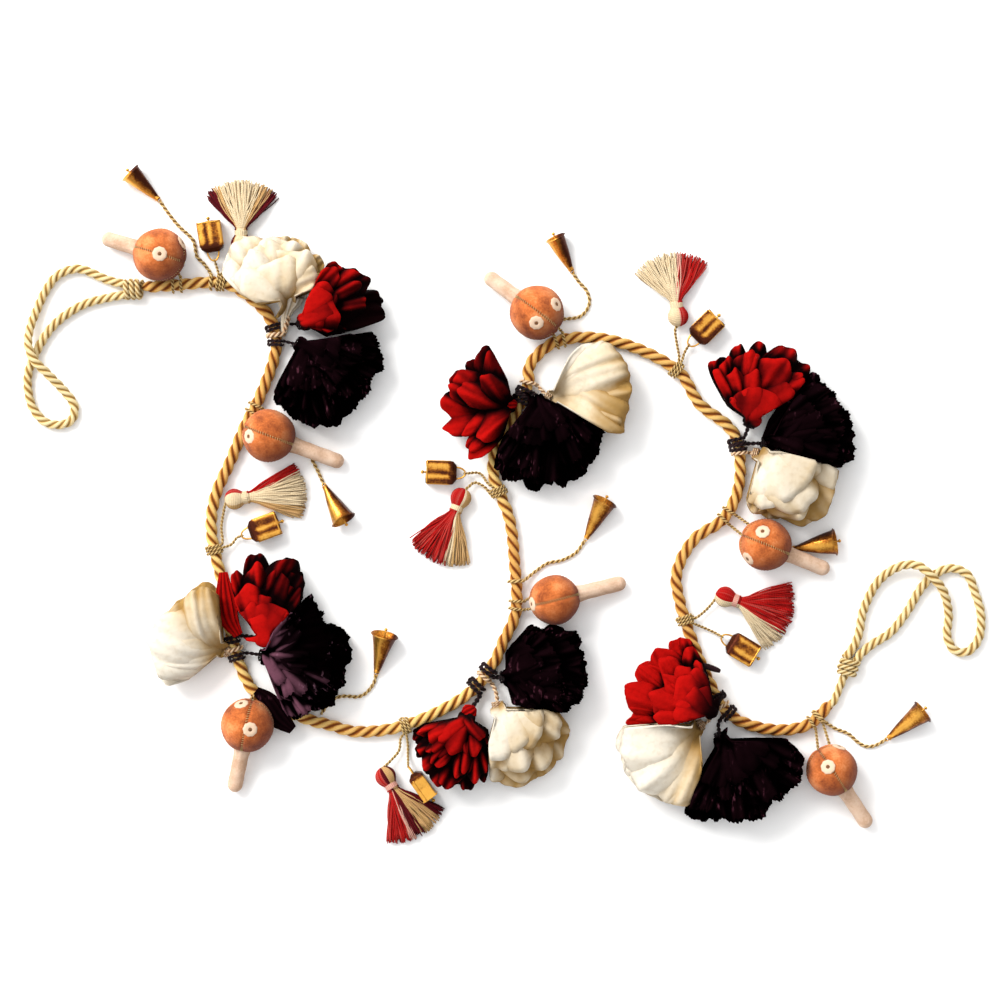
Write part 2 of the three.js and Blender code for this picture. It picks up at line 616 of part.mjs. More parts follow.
// The far end of a square bell's bail.
function squareEye(row) {
  const angle = THREE.MathUtils.degToRad(row.turn);
  const back = SQUARE_LENGTH + SQUARE_CROWN + BAIL_DEPTH;
  const [x, y] = [row.x - back * Math.cos(angle), row.y - back * Math.sin(angle)];
  return new THREE.Vector3(x, y, squareHeight(row));
}

// A square bell: an open box with a small crown, a clapper and a wire bail.
function squareBell(row) {
  const [w, t] = [SQUARE_WIDTH / 2, SQUARE_THICKNESS / 2];
  const ringOf = (halfWidth, halfThick, y) =>
    [[1, -1], [1, 1], [-1, 1], [-1, -1]].map(
      ([a, b]) => new THREE.Vector3(a * halfWidth, y, b * halfThick),
    );
  const crownEnd = -SQUARE_LENGTH - SQUARE_CROWN;
  const [inWidth, inThick] = [w - SQUARE_WALL, t - SQUARE_WALL];
  const crown = ringOf(SQUARE_CROWN_WIDTH * w, SQUARE_CROWN_THICKNESS * t, crownEnd);
  const shell = solid(loft([ringOf(w, t, 0), ringOf(w, t, -SQUARE_LENGTH), crown]));
  const beyond = ringOf(inWidth, inThick, 2 * SQUARE_WALL);
  const deep = ringOf(inWidth, inThick, SQUARE_WALL - SQUARE_LENGTH);
  const hollow = solid(loft([beyond, deep]));
  const low = row.onEdge ? [w - CLAPPER_REST, 0] : [0, CLAPPER_REST - t];
  const clapperEnds = [SQUARE_WALL / 2 - SQUARE_LENGTH, CLAPPER_OUT];
  const clapper = cord(vectors(clapperEnds.map((y) => [low[0], y, low[1]])), CLAPPER_RADIUS, 5);
  const bailFoot = crownEnd + BAIL_SUNK;
  const bailPoints = Array.from({ length: BAIL_STEPS + 1 }, (_, step) => {
    const a = Math.PI * (1 - step / BAIL_STEPS);
    const out = bailFoot - (BAIL_DEPTH + BAIL_SUNK) * Math.sin(a);
    return new THREE.Vector3(BAIL_HALF_WIDTH * Math.cos(a), out, 0);
  });
  const bail = cord(bailPoints, BAIL_WIRE, 4);
  const bell = shell.subtract(hollow);
  const position = new THREE.Vector3(row.x, row.y, squareHeight(row));
  return place(geometryOf(joined(bell, clapper, bail)), position, squareTurn(row));
}

SQUARE_BELLS.forEach((row, i) => addPiece(`square_bell_${i + 1}`, squareBell(row), BRASS));

// One lock of a tassel: three sides, fused at its root, level on what it lies on.
function lock(neck, angle, share, row, layer) {
  const fan = angle + THREE.MathUtils.degToRad(row.spread * share);
  const across = TASSEL_ROOT_HALF_WIDTH * share;
  const [rootX, rootY] = [neck.x - across * Math.sin(angle), neck.y + across * Math.cos(angle)];
  const long = row.length * (1 - SIDE_LOCKS_SHORTER * share * share);
  const rings = LOCK_SECTIONS.map(([far, half]) => {
    const x = rootX + long * far * Math.cos(fan);
    const y = rootY + long * far * Math.sin(fan);
    const z = layer.root + (layer.lying - layer.root) * far;
    const [sideX, sideY] = [-Math.sin(fan) * half, Math.cos(fan) * half];
    return [
      new THREE.Vector3(x, y, z + half),
      new THREE.Vector3(x - sideX, y - sideY, z - LOCK_UNDERSIDE * half),
      new THREE.Vector3(x + sideX, y + sideY, z - LOCK_UNDERSIDE * half),
    ];
  });
  return solid(loft(rings));
}

// A tassel's head, its neck and the cords that tie it and a square bell.
function tasselCore(row, i) {
  const angle = THREE.MathUtils.degToRad(row.turn);
  const out = new THREE.Vector3(Math.cos(angle), Math.sin(angle), 0);
  const head = new THREE.Vector3(row.x, row.y, TASSEL_HEAD_RADIUS * HEAD_REST);
  const upright = new THREE.Quaternion().setFromUnitVectors(new THREE.Vector3(0, 1, 0), out);
  const outline = TASSEL_PROFILE.map(
    ([across, along]) => new THREE.Vector2(across * TASSEL_HEAD_RADIUS, along * TASSEL_HEAD_RADIUS),
  );
  const turned = place(new THREE.LatheGeometry(outline, 8), head, upright);
  const start = head.clone().addScaledVector(out, 2 - TASSEL_HEAD_RADIUS);
  const ways = TASSEL_WAYS[i];
  const headWay = [start, ...vectors(ways.head)];
  const string = tie(headWay, row.ropeX, row.ropeY, CORD_RADIUS);
  const eye = squareEye(SQUARE_BELLS[i]);
  const bellWay = vectors(ways.bell);
  const towards = bellWay[0].clone().sub(eye).normalize();
  const bellStart = eye.clone().addScaledVector(towards, BAIL_WIRE + 2 * GAP);
  const meeting = overRope(row.ropeX, row.ropeY, CORD_RADIUS, headWay[headWay.length - 1])[1];
  const branch = cord([bellStart, ...bellWay, meeting], CORD_RADIUS, TIE_SIDES);
  return joined(turned, string, branch);
}

// A tassel: its core and its fan of locks.
function tassel(row, i) {
  const angle = THREE.MathUtils.degToRad(row.turn);
  const out = new THREE.Vector3(Math.cos(angle), Math.sin(angle), 0);
  const neckEnd = new THREE.Vector3(row.x, row.y, 0).addScaledVector(out, TASSEL_LOCK_ROOT);
  const locks = LOCK_LAYERS.flatMap((layer) =>
    Array.from({ length: layer.count }, (_, k) => (2 * k + 1) / layer.count - 1).map((share) =>
      lock(neckEnd, angle, share, row, layer),
    ),
  );
  return joined(tasselCore(row, i), ...locks);
}

TASSELS.forEach((row, i) => addPiece(`tassel_${i + 1}`, tassel(row, i), i % 2 ? RED : CREAM));

// The room under a pompom for the head of the first tassel and its cord.
const { x: headX, y: headY } = TASSELS[0];
const headMiddle = new THREE.Vector3(headX, headY, TASSEL_HEAD_RADIUS * HEAD_REST);
const tieStart = headMiddle.clone().sub(new THREE.Vector3(0, TASSEL_HEAD_RADIUS - 2, 0));
const tieEnd = new THREE.Vector3(-228, 181, 9);
const neckEdge = headMiddle.clone().add(new THREE.Vector3(0, 2 * TASSEL_HEAD_RADIUS, 0));
const headRoom = joined(
  place(new THREE.SphereGeometry(TASSEL_HEAD_RADIUS + 1, 8, 6), headMiddle, new THREE.Quaternion()),
  cord([headMiddle, neckEdge], TASSEL_HEAD_RADIUS - 0.6, 8),
  cord([headMiddle, tieStart, ...vectors(TASSEL_WAYS[0].head), tieEnd], CORD_RADIUS + ROPE_ROOM, 6),
);

// Pompoms
const pieceColour = { cream: CREAM, red: RED, dark: DARK };
const counts = { cream: 0, red: 0, dark: 0 };
POMPOMS.forEach((row) => {
  counts[row.colour] += 1;
  const key = `${row.colour}_${counts[row.colour]}`;
  const rim = RIMS[key];
  const middle = middleOf(row, rim);
  let body = pompomBody(row, rim);
  for (const border of BORDERS) {
    if (border.one !== key && border.other !== key) continue;
    body = pressed(body, middle, border.x1, border.y1, border.x2, border.y2, GAP);
  }
  for (const cap of TOADSTOOLS) {
    const away = new THREE.Vector2(middle[0] - cap.x, middle[1] - cap.y);
    if (away.length() > cap.radius + 2 * FULL_REACH) continue;
    away.normalize();
    const reach = cap.radius + GAP;
    body = body.trimByPlane([away.x, away.y, 0], away.x * cap.x + away.y * cap.y + reach);
  }
  body = body.subtract(ropeClearance);
  if (key === "cream_1") body = body.subtract(headRoom);
  if (key === "dark_2") body = body.subtract(cord(bellCordPoints(3), CORD_RADIUS + CORD_ROOM, 6));
  const neck = new THREE.Vector3(row.x, row.y, (NECK_TOP + NECK_BOTTOM) / 2);
  const inside = new THREE.Vector3(...middle, neck.z).lerp(neck, 0.8);
  const way = [inside, neck, ...vectors(TIE_WAYS[key] || [])];
  const pieces = [body];
  if (NECK_BEADS[key]) {
    const [x, y, z, radius] = NECK_BEADS[key];
    const bead = new THREE.Vector3(x, y, z);
    pieces.push(place(new THREE.SphereGeometry(radius, 7, 5), bead, new THREE.Quaternion()));
    way.push(bead);
  }
  const beside = SIDE_TIES.includes(key);
  pieces.push(beside ? cord(way, row.tie, TIE_SIDES) : tie(way, row.ropeX, row.ropeY, row.tie));
  addPiece(`pompom_${key}`, joined(...pieces), pieceColour[row.colour]);
});

// Toadstools: a ball of four panels, tied to the rope, with a stuffed stem
TOADSTOOLS.forEach((row, i) => {
  const centre = new THREE.Vector3(row.x, row.y, row.radius * CAP_REST);
  const stemEnd = new THREE.Vector3(row.stemX, row.stemY, STEM_RADIUS + STEM_LIFT);
  const axis = stemEnd.clone().sub(centre).normalize();
  const upright = new THREE.Quaternion().setFromUnitVectors(new THREE.Vector3(0, 1, 0), axis);
  const ball = new THREE.SphereGeometry(row.radius, CAP_SEGMENTS, 6);
  const spot = ball.attributes.position;
  for (let k = 0; k < spot.count; k++) {
    const p = new THREE.Vector3().fromBufferAttribute(spot, k);
    const segment = Math.round((Math.atan2(p.z, p.x) / (2 * Math.PI)) * CAP_SEGMENTS);
    const offSeam = segment % (CAP_SEGMENTS / CAP_PANELS);
    const onSeam = offSeam === 0 && Math.abs(p.y) < 0.95 * row.radius;
    if (onSeam) p.multiplyScalar(SEAM);
    spot.setXYZ(k, p.x, p.y, p.z);
  }
  const capBody = place(ball, centre, upright).trimByPlane([0, 0, 1], 0);
  const towards = new THREE.Vector3(row.ropeX, row.ropeY, ROPE_RADIUS).sub(centre).normalize();
  const from = centre.clone().addScaledVector(towards, row.radius - 2);
  const pieces = [capBody, tie([from], row.ropeX, row.ropeY, CORD_RADIUS)];
  if (i === HIDDEN_CORD.toadstool - 1) {
    pieces.push(cord(vectors(HIDDEN_CORD.route), CORD_RADIUS, TIE_SIDES));
  }
  addPiece(`cap_${i + 1}`, joined(...pieces), TERRACOTTA);

  const start = row.radius + GAP;
  const end = stemEnd.distanceTo(centre);
  const outline = [
    [0, start],
    [STEM_RADIUS, start],
    [STEM_RADIUS, end - STEM_ROUNDING],
    [0.75 * STEM_RADIUS, end - 0.25 * STEM_ROUNDING],
    [0, end],
  ].map(([r, y]) => new THREE.Vector2(r, y));
  addPiece(`stem_${i + 1}`, place(new THREE.LatheGeometry(outline, 8), centre, upright), PALE_CLOTH);
});

// Cone bells
// How far a cone bell's axis tips down towards its small end when it lies on one facet.
function coneLean(row) {
  return Math.atan(((row.mouth - CONE_TIP_RADIUS) * facetShare) / row.length);
}

CONES.forEach((row, i) => {
  const outline = [
    [0, row.length - CONE_CROWN],
    [CONE_TIP_RADIUS, row.length - CONE_CROWN],
    [row.mouth - CONE_WALL, 0],
    [row.mouth, 0],
    [CONE_TIP_RADIUS, row.length],
    [0, row.length],
  ].map(([r, y]) => new THREE.Vector2(r, y));
  const shell = new THREE.LatheGeometry(outline, CONE_FACETS, Math.PI / CONE_FACETS);
  const rod = vectors([[0, row.length - 1, 0], [0, -CLAPPER_OUT, CLAPPER_REST - row.mouth]]);
  const bell = joined(solid(shell), cord(rod, CLAPPER_RADIUS, 5));
  const angle = Math.atan2(row.tipY - row.y, row.tipX - row.x);
  const flat = new THREE.Quaternion().setFromAxisAngle(UP, angle - Math.PI / 2);
  const lean = new THREE.Quaternion().setFromAxisAngle(new THREE.Vector3(1, 0, 0), -coneLean(row));
  const height = row.mouth * facetShare * Math.cos(coneLean(row));
  const body = place(geometryOf(bell), new THREE.Vector3(row.x, row.y, height), flat.multiply(lean));
  addPiece(`cone_bell_${i + 1}`, body, BRASS);
});

// Where a cone bell's cord starts: a little past the bell's small end.
function cordStart(row) {
  const angle = Math.atan2(row.tipY - row.y, row.tipX - row.x);
  const along = row.length * Math.cos(coneLean(row)) + 2.5 * GAP;
  const [x, y] = [row.x + along * Math.cos(angle), row.y + along * Math.sin(angle)];
  return new THREE.Vector3(x, y, CORD_RADIUS + 0.4);
}

// A cone bell's cord as points: from the bell along its way, and over the rope where it does so.
function bellCordPoints(number) {
  const start = cordStart(CONES[number - 1]);
  const points = [start, ...BELL_CORDS[number].map(([x, y]) => new THREE.Vector3(x, y, CORD_RADIUS + LIFT))];
  if (!OVER_ROPE_CORDS.includes(number)) return points;
  const last = points.pop();
  return [...points, ...overRope(last.x, last.y, CORD_RADIUS, points[points.length - 1])];
}

for (const number of Object.keys(BELL_CORDS).map(Number)) {
  addPiece(`bell_cord_${number}`, cord(bellCordPoints(number), CORD_RADIUS, BELL_CORD_SIDES), GOLD_ROPE);
}

export default garland;
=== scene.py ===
"""Looks of a pom-pom garland: rope, end loops, cloth pompoms, toadstools, bells and tassels.

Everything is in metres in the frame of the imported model, +Z up, with the surface at z = 0.
"""

from __future__ import annotations

import logging
import math
import random
import sys
from dataclasses import dataclass
from enum import Enum
from typing import Callable, Sequence

import bpy
import numpy as np
from mathutils import Matrix, Vector

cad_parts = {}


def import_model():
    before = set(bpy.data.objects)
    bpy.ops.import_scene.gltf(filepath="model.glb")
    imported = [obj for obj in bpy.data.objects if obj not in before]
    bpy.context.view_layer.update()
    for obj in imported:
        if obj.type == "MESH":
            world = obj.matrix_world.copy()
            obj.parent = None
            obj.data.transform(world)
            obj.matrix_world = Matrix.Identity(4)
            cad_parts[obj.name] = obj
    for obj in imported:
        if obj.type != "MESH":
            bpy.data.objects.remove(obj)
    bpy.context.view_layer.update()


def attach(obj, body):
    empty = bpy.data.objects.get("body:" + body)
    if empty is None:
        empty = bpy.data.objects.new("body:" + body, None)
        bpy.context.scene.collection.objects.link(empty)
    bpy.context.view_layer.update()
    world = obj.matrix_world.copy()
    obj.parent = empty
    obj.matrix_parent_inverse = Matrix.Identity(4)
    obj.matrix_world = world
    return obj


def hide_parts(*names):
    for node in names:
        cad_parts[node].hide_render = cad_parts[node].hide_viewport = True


LOG = logging.getLogger("garland")

BODY = "root"
ROPE_RADIUS = 0.0049
LOOP_RADIUS = 0.0038
CORD_RADIUS = 0.0016  # of a cone bell's cord
ROPE_LAY = 0.031  # length of one turn of the strands, as in the next two
LOOP_LAY = 0.022
THREAD_LAY = 0.006
STRAND_OUT = 0.47  # how far a strand's own middle is from the cord's, as a share of its radius
OVER_STEPS = (5, 40, 75, 110, 145, 178)  # degrees round the rope where a cord over it has a point
LIFT = 0.0002  # how far cords lie over the surface
BED = 0.0003  # lowest that cloth lies over the surface
PAINTED_LIGHT_WAY = np.array([-0.62, 0.55, 0.56])  # the way painted light comes from; stuffed cloth gets painted shade on the side away from it
GOLDEN = 0.618034  # spreads a tassel's threads evenly over its fan
X_WAY, Y_WAY, UP = np.eye(3)
TURN = 2 * math.pi
WHITE = (1.0, 1.0, 1.0)

# A tassel's head: how wide it is at each place along it, in radii.
HEAD_PROFILE = [
    (0.12, -1.0), (0.62, -0.82), (0.93, -0.4), (1.0, 0), (0.86, 0.45), (0.6, 0.85), (0.52, 1.1), (0.62, 1.5),
]

# The rope's middle line, from its left end to its right end, at ROPE_RADIUS over the surface.
ROPE_ROUTE = [
    (-0.291, 0.176), (-0.261, 0.178), (-0.23, 0.18), (-0.216, 0.176), (-0.189, 0.153), (-0.183, 0.129),
    (-0.199, 0.082), (-0.207, 0.067), (-0.22, 0.036), (-0.232, 0.008), (-0.235, -0.019), (-0.225, -0.066),
    (-0.217, -0.111), (-0.199, -0.15), (-0.158, -0.17), (-0.139, -0.175), (-0.12, -0.18), (-0.087, -0.177),
    (-0.051, -0.163), (-0.026, -0.147), (-0.008, -0.124), (-0.001, -0.108), (0.009, -0.085), (0.008, -0.044),
    (0.004, -0.01), (-0.009, 0.027), (-0.006, 0.05), (0.008, 0.074), (0.019, 0.099), (0.02, 0.113),
    (0.038, 0.131), (0.067, 0.136), (0.104, 0.128), (0.141, 0.107), (0.156, 0.083), (0.179, 0.065),
    (0.186, 0.054), (0.188, 0.018), (0.176, -0.009), (0.152, -0.026), (0.138, -0.053), (0.141, -0.078),
    (0.15, -0.106), (0.163, -0.138), (0.18, -0.166), (0.211, -0.178), (0.242, -0.175), (0.263, -0.156),
]

# The end loops' middle lines: x, y and height.
LEFT_LOOP = [
    (-0.301, 0.1782, 0.0054), (-0.306, 0.179, 0.0047), (-0.318, 0.182, 0.004), (-0.342, 0.191, 0.004),
    (-0.358, 0.186, 0.004), (-0.367, 0.175, 0.004), (-0.375, 0.158, 0.005), (-0.38, 0.143, 0.008),
    (-0.381, 0.131, 0.012), (-0.377, 0.119, 0.013), (-0.365, 0.106, 0.01), (-0.353, 0.093, 0.005),
    (-0.345, 0.081, 0.004), (-0.347, 0.07, 0.004), (-0.356, 0.066, 0.004), (-0.368, 0.068, 0.004),
    (-0.378, 0.079, 0.004), (-0.382, 0.093, 0.004), (-0.382, 0.107, 0.004), (-0.377, 0.121, 0.004),
    (-0.372, 0.131, 0.004), (-0.364, 0.143, 0.004), (-0.352, 0.154, 0.004), (-0.336, 0.163, 0.004),
    (-0.321, 0.167, 0.004), (-0.309, 0.1694, 0.0047), (-0.301, 0.1702, 0.0054),
]
RIGHT_LOOP = [
    (0.2734, -0.1228, 0.0054), (0.2756, -0.118, 0.0047), (0.28, -0.112, 0.004), (0.284, -0.102, 0.004),
    (0.288, -0.082, 0.004), (0.301, -0.058, 0.005), (0.318, -0.047, 0.009), (0.331, -0.047, 0.0125),
    (0.342, -0.056, 0.013), (0.351, -0.067, 0.01), (0.356, -0.086, 0.005), (0.355, -0.104, 0.004),
    (0.361, -0.115, 0.004), (0.371, -0.116, 0.004), (0.38, -0.106, 0.004), (0.382, -0.086, 0.004),
    (0.377, -0.068, 0.004), (0.371, -0.054, 0.004), (0.358, -0.049, 0.004), (0.345, -0.054, 0.004),
    (0.334, -0.065, 0.004), (0.322, -0.085, 0.004), (0.309, -0.101, 0.004), (0.295, -0.11, 0.004),
    (0.285, -0.1186, 0.0047), (0.2808, -0.1254, 0.0054),
]
RIGHT_TAIL = [
    (0.2588, -0.161, 0.0056), (0.2643, -0.1547, 0.0052), (0.268, -0.146, 0.0046), (0.2715, -0.1375, 0.005),
    (0.274, -0.1315, 0.0054),
]

# The cords of the cone bells, from the bell's small end to where the cord is made fast.
BELL_CORDS = {
    1: [(-0.267, 0.232), (-0.2596, 0.2236), (-0.2533, 0.218), (-0.2494, 0.213), (-0.248, 0.2065),
        (-0.2466, 0.2005), (-0.2415, 0.1955), (-0.236, 0.188)],
    2: [(-0.149, 0.027), (-0.152, 0.033), (-0.157, 0.042), (-0.163, 0.0465), (-0.1736, 0.0516)],
    3: [(-0.1045, -0.1405), (-0.108, -0.146), (-0.112, -0.15), (-0.118, -0.1524), (-0.124, -0.152),
        (-0.1304, -0.152), (-0.137, -0.154), (-0.143, -0.16), (-0.1475, -0.1668)],
    4: [(0.058, -0.036), (0.052, -0.04), (0.045, -0.043), (0.035, -0.045), (0.027, -0.05), (0.02, -0.058)],
    5: [(0.0602, 0.18), (0.0655, 0.1742), (0.0682, 0.1656), (0.066, 0.1582), (0.0604, 0.1528),
        (0.0505, 0.151), (0.0435, 0.151)],
    7: [(0.297, -0.1915), (0.29, -0.192), (0.284, -0.189), (0.276, -0.182), (0.266, -0.178), (0.257, -0.173)],
}
OVER_ROPE_CORDS = (1, 4, 7)


class Hue(Enum):
    """The three colours of cloth that the pompoms are made of."""

    CREAM = "cream"
    RED = "red"
    DARK = "dark"


class Rim(Enum):
    """How the ends of a pompom's cloth strips are cut."""

    ROUND = "round"
    POINTED = "pointed"
    PINKED = "pinked"


Colour = tuple[float, float, float]
Route = Sequence[Sequence[float]]


class Wire:
    """A shader socket that takes part in Python arithmetic through Math nodes."""

    def __init__(self, graph: "Graph", socket: bpy.types.NodeSocket) -> None:
        """Wraps a socket of a graph."""
        self.graph = graph
        self.socket = socket

    def __add__(self, other: "Wire | float") -> "Wire":
        """Sum."""
        return self.graph.maths("ADD", self, other)

    def __sub__(self, other: "Wire | float") -> "Wire":
        """Difference."""
        return self.graph.maths("SUBTRACT", self, other)

    def __mul__(self, other: "Wire | float") -> "Wire":
        """Product."""
        return self.graph.maths("MULTIPLY", self, other)

    def __rsub__(self, other: float) -> "Wire":
        """Difference from a number."""
        return self.graph.maths("SUBTRACT", other, self)

    def __pow__(self, other: "Wire | float") -> "Wire":
        """Power."""
        return self.graph.maths("POWER", self, other)

    __radd__ = __add__
    __rmul__ = __mul__


class Graph:
    """One material's node tree."""

    def __init__(self, name: str) -> None:
        """Makes a material with an empty Principled surface.

        Args:
            name: The material's name.
        """
        self.material = bpy.data.materials.new(name)
        self.material.use_nodes = True
        self.tree = self.material.node_tree
        self.surface = self.tree.nodes["Principled BSDF"]

    def node(self, kind: str, settings: dict | None = None, **sockets: object) -> bpy.types.Node:
        """Adds a node.

        Args:
            kind: The node's type, without its ShaderNode prefix.
            settings: Values set on the node before its sockets.
            **sockets: Values or wires by input name, with _ for a space.

        Returns:
            The node.
        """
        made = self.tree.nodes.new("ShaderNode" + kind)
        for key, value in (settings or {}).items():
            setattr(made, key, value)
        for key, value in sockets.items():
            name = key.replace("_", " ")
            self.feed(next(s for s in made.inputs if s.name == name and s.enabled), value)
        return made

    def feed(self, socket: bpy.types.NodeSocket, value: object) -> None:
        """Links a wire to a socket, or sets the socket's own value."""
        if isinstance(value, Wire):
            self.tree.links.new(value.socket, socket)
        elif isinstance(value, tuple) and len(value) == 3 and socket.type == "RGBA":
            socket.default_value = (*value, 1.0)
        else:
            socket.default_value = value

    def maths(self, operation: str, first: "Wire | float", second: "Wire | float" = 0.0) -> Wire:
        """Adds a Math node.

        Args:
            operation: The node's operation.
            first: A wire or number.
            second: A wire or number.

        Returns:
            The result.
        """
        made = self.tree.nodes.new("ShaderNodeMath")
        made.operation = operation
        self.feed(made.inputs[0], first)
        self.feed(made.inputs[1], second)
        return Wire(self, made.outputs[0])

    def smooth(self, value: Wire, low: float, high: float) -> Wire:
        """A value stretched smoothly from low to high into 0 to 1."""
        made = self.node("MapRange", {"interpolation_type": "SMOOTHSTEP"}, Value=value)
        made.inputs[1].default_value = low
        made.inputs[2].default_value = high
        return Wire(self, made.outputs[0])

    def blend(self, factor: "Wire | float", one: "Wire | Colour", other: "Wire | Colour",
              way: str = "MIX") -> Wire:
        """Mixes two colours.

        Args:
            factor: How much of the other colour.
            one: The first colour.
            other: The second colour.
            way: The Mix node's blend type.

        Returns:
            The mixed colour.
        """
        made = self.tree.nodes.new("ShaderNodeMix")
        made.data_type = "RGBA"
        made.blend_type = way
        self.feed(made.inputs[0], factor)
        self.feed(made.inputs[6], one)
        self.feed(made.inputs[7], other)
        return Wire(self, made.outputs[2])

    def ramp(self, factor: Wire, stops: Sequence[tuple[float, Colour]]) -> Wire:
        """A colour ramp.

        Args:
            factor: Where on the ramp.
            stops: Place and colour of each stop.

        Returns:
            The colour.
        """
        made = self.tree.nodes.new("ShaderNodeValToRGB")
        band = made.color_ramp
        band.elements[0].position, band.elements[-1].position = stops[0][0], stops[-1][0]
        band.elements[0].color, band.elements[-1].color = (*stops[0][1], 1), (*stops[-1][1], 1)
        for place, colour in stops[1:-1]:
            band.elements.new(place).color = (*colour, 1)
        self.feed(made.inputs[0], factor)
        return Wire(self, made.outputs[0])

    def place(self) -> Wire:
        """The point's Object coordinates."""
        return Wire(self, self.node("TexCoord").outputs["Object"])

    def weave(self) -> tuple[Wire, Wire]:
        """The piece's own UV map, as its two numbers."""
        made = self.node("SeparateXYZ", Vector=Wire(self, self.node("TexCoord").outputs["UV"]))
        return Wire(self, made.outputs[0]), Wire(self, made.outputs[1])

    def weave_relief(self, across: Wire, length: Wire, threads: float) -> Wire:
        """The hills of a plain weave, where its waves across and along meet."""
        return self.maths("SINE", across * threads) * self.maths("SINE", length * threads)

    def tone(self) -> tuple[Wire, ...]:
        """The three numbers that a piece's points carry: ridge, along and kind."""
        stored = self.node("Attribute", {"attribute_name": "tone"})
        made = self.node("SeparateXYZ", Vector=Wire(self, stored.outputs["Vector"]))
        return tuple(Wire(self, made.outputs[k]) for k in range(3))

    def cloud(self, scale: float, detail: float = 3.0, stretch: Colour = (1, 1, 1)) -> Wire:
        """Noise over the piece.

        Args:
            scale: Spots in a metre.
            detail: Octaves.
            stretch: Scale along each axis.

        Returns:
            The noise, from 0 to 1.
        """
        where = Wire(self, self.node("Mapping", None, Vector=self.place(), Scale=stretch).outputs[0])
        made = self.node("TexNoise", None, Vector=where, Scale=scale, Detail=detail)
        return Wire(self, made.outputs["Fac" if "Fac" in made.outputs else 0])

    def relief(self, height: Wire, depth: float, under: Wire | None = None) -> Wire:
        """A bumped normal.

        Args:
            height: The relief, from 0 to 1.
            depth: Its depth in metres.
            under: A normal that it adds to.

        Returns:
            The normal.
        """
        made = self.node("Bump", None, Strength=1.0, Distance=depth, Height=height)
        if under:
            self.feed(made.inputs["Normal"], under)
        return Wire(self, made.outputs[0])

    def finish(self, colour: "Wire | Colour", roughness: "Wire | float", normal: Wire | None = None,
               **constants: float) -> bpy.types.Material:
        """Fills the surface's sockets.

        Args:
            colour: Base colour.
            roughness: Roughness.
            normal: Bumped normal.
            **constants: Other sockets' numbers, with _ for a space.

        Returns:
            The material.
        """
        self.feed(self.surface.inputs["Base Color"], colour)
        self.feed(self.surface.inputs["Roughness"], roughness)
        if normal:
            self.feed(self.surface.inputs["Normal"], normal)
        for key, value in constants.items():
            self.feed(self.surface.inputs[key.replace("_", " ")], value)
        return self.material


@dataclass(frozen=True)
class TwistFinish:
    """Twisted cotton: painted light on the strands, painted shade in the grooves and between the yarns, with
    fine yarns and fuzz.
    """

    name: str
    # groove is the painted shade in the grooves, ridge the painted light on the strands' crests
    groove: Colour
    body: Colour
    ridge: Colour
    yarns: float  # yarns counted round the cord
    depth: float = 0.0002
    ageing: float = 0.0  # how much browner it is in places
    aged: Colour = (0.72, 0.48, 0.28)

    def material(self) -> bpy.types.Material:
        """Builds the material."""
        graph = Graph(self.name)
        ridge, _, _ = graph.tone()
        around_cord, _ = graph.weave()
        wave = graph.maths("SINE", around_cord * self.yarns * TURN)
        fuzz = graph.cloud(900, 4)
        patch = graph.cloud(45, 2)
        lit = graph.smooth(ridge + (patch - 0.5) * 0.6 + (fuzz - 0.5) * 0.5, 0.1, 1.12)
        colour = graph.ramp(lit, [(0.0, self.groove), (0.34, self.body), (0.85, self.ridge)])
        # painted shade between the yarns
        shade = graph.smooth(wave * 0.5 + 0.5, 0.0, 0.55)
        colour = graph.blend(0.3 * (1 - shade), colour, self.groove)
        browner = graph.smooth(graph.cloud(6, 1), 0.36, 0.64)
        colour = graph.blend(browner * self.ageing, colour, self.aged, "MULTIPLY")
        normal = graph.relief(wave * 0.25 + fuzz * 0.75, self.depth)
        return graph.finish(colour, 0.93, normal, Sheen_Weight=0.06, Sheen_Roughness=0.6,
                            Specular_IOR_Level=0.06)


@dataclass(frozen=True)
class ClothFinish:
    """Thin matt cloth of a pompom: a fold's colour goes from painted shade in its hollow to painted light on
    its crest.
    """

    name: str
    # the first colour is the painted shade in the folds' hollows, the last the painted light on their crests
    recess_shade: Colour
    body: Colour
    crest: Colour
    glint: Colour = WHITE
    glints: float = 0.0  # share of the crests' threads that catch the light
    weave_depth: float = 0.00016
    crumple: float = 0.0012  # depth of the cloth's small creases
    gloss: float = 0.1
    threads: float = 5200.0  # waves of the weave in a UV unit, in radians

    def material(self) -> bpy.types.Material:
        """Builds the material."""
        graph = Graph(self.name)
        ridge, along, kind = graph.tone()
        across, length = graph.weave()
        patch = graph.cloud(38, 3)
        crease = graph.cloud(240, 4)
        fine = graph.cloud(1500, 2)
        # painted shade near the neck, where the strips are gathered
        level = ridge * (0.45 + 0.55 * graph.smooth(along, 0.05, 0.6))
        level = level + (patch - 0.5) * 0.5 + (kind - 0.5) * 0.2
        colour = graph.ramp(graph.smooth(level, 0.12, 0.95),
                            [(0.0, self.recess_shade), (0.42, self.body), (1.0, self.crest)])
        # painted shade in small creases
        colour = graph.blend(graph.smooth(crease, 0.45, 0.75) * 0.18, colour, self.recess_shade)
        # painted glints on the cloth's threads
        if self.glints:
            slubs = graph.cloud(330, 5, (1, 0.35, 1))
            shine = graph.smooth(slubs, 0.66 - 0.1 * self.glints, 0.72) * graph.smooth(patch, 0.5, 0.68)
            colour = graph.blend(shine * 0.75, colour, self.glint)
        weave = graph.weave_relief(across, length, self.threads)
        normal = graph.relief(weave * 0.18 + fine * 0.3 + crease * 0.9, self.weave_depth)
        normal = graph.relief(graph.cloud(70, 3), self.crumple, normal)
        return graph.finish(colour, 0.95, normal, Sheen_Weight=0.0, Sheen_Roughness=0.5,
                            Specular_IOR_Level=self.gloss)


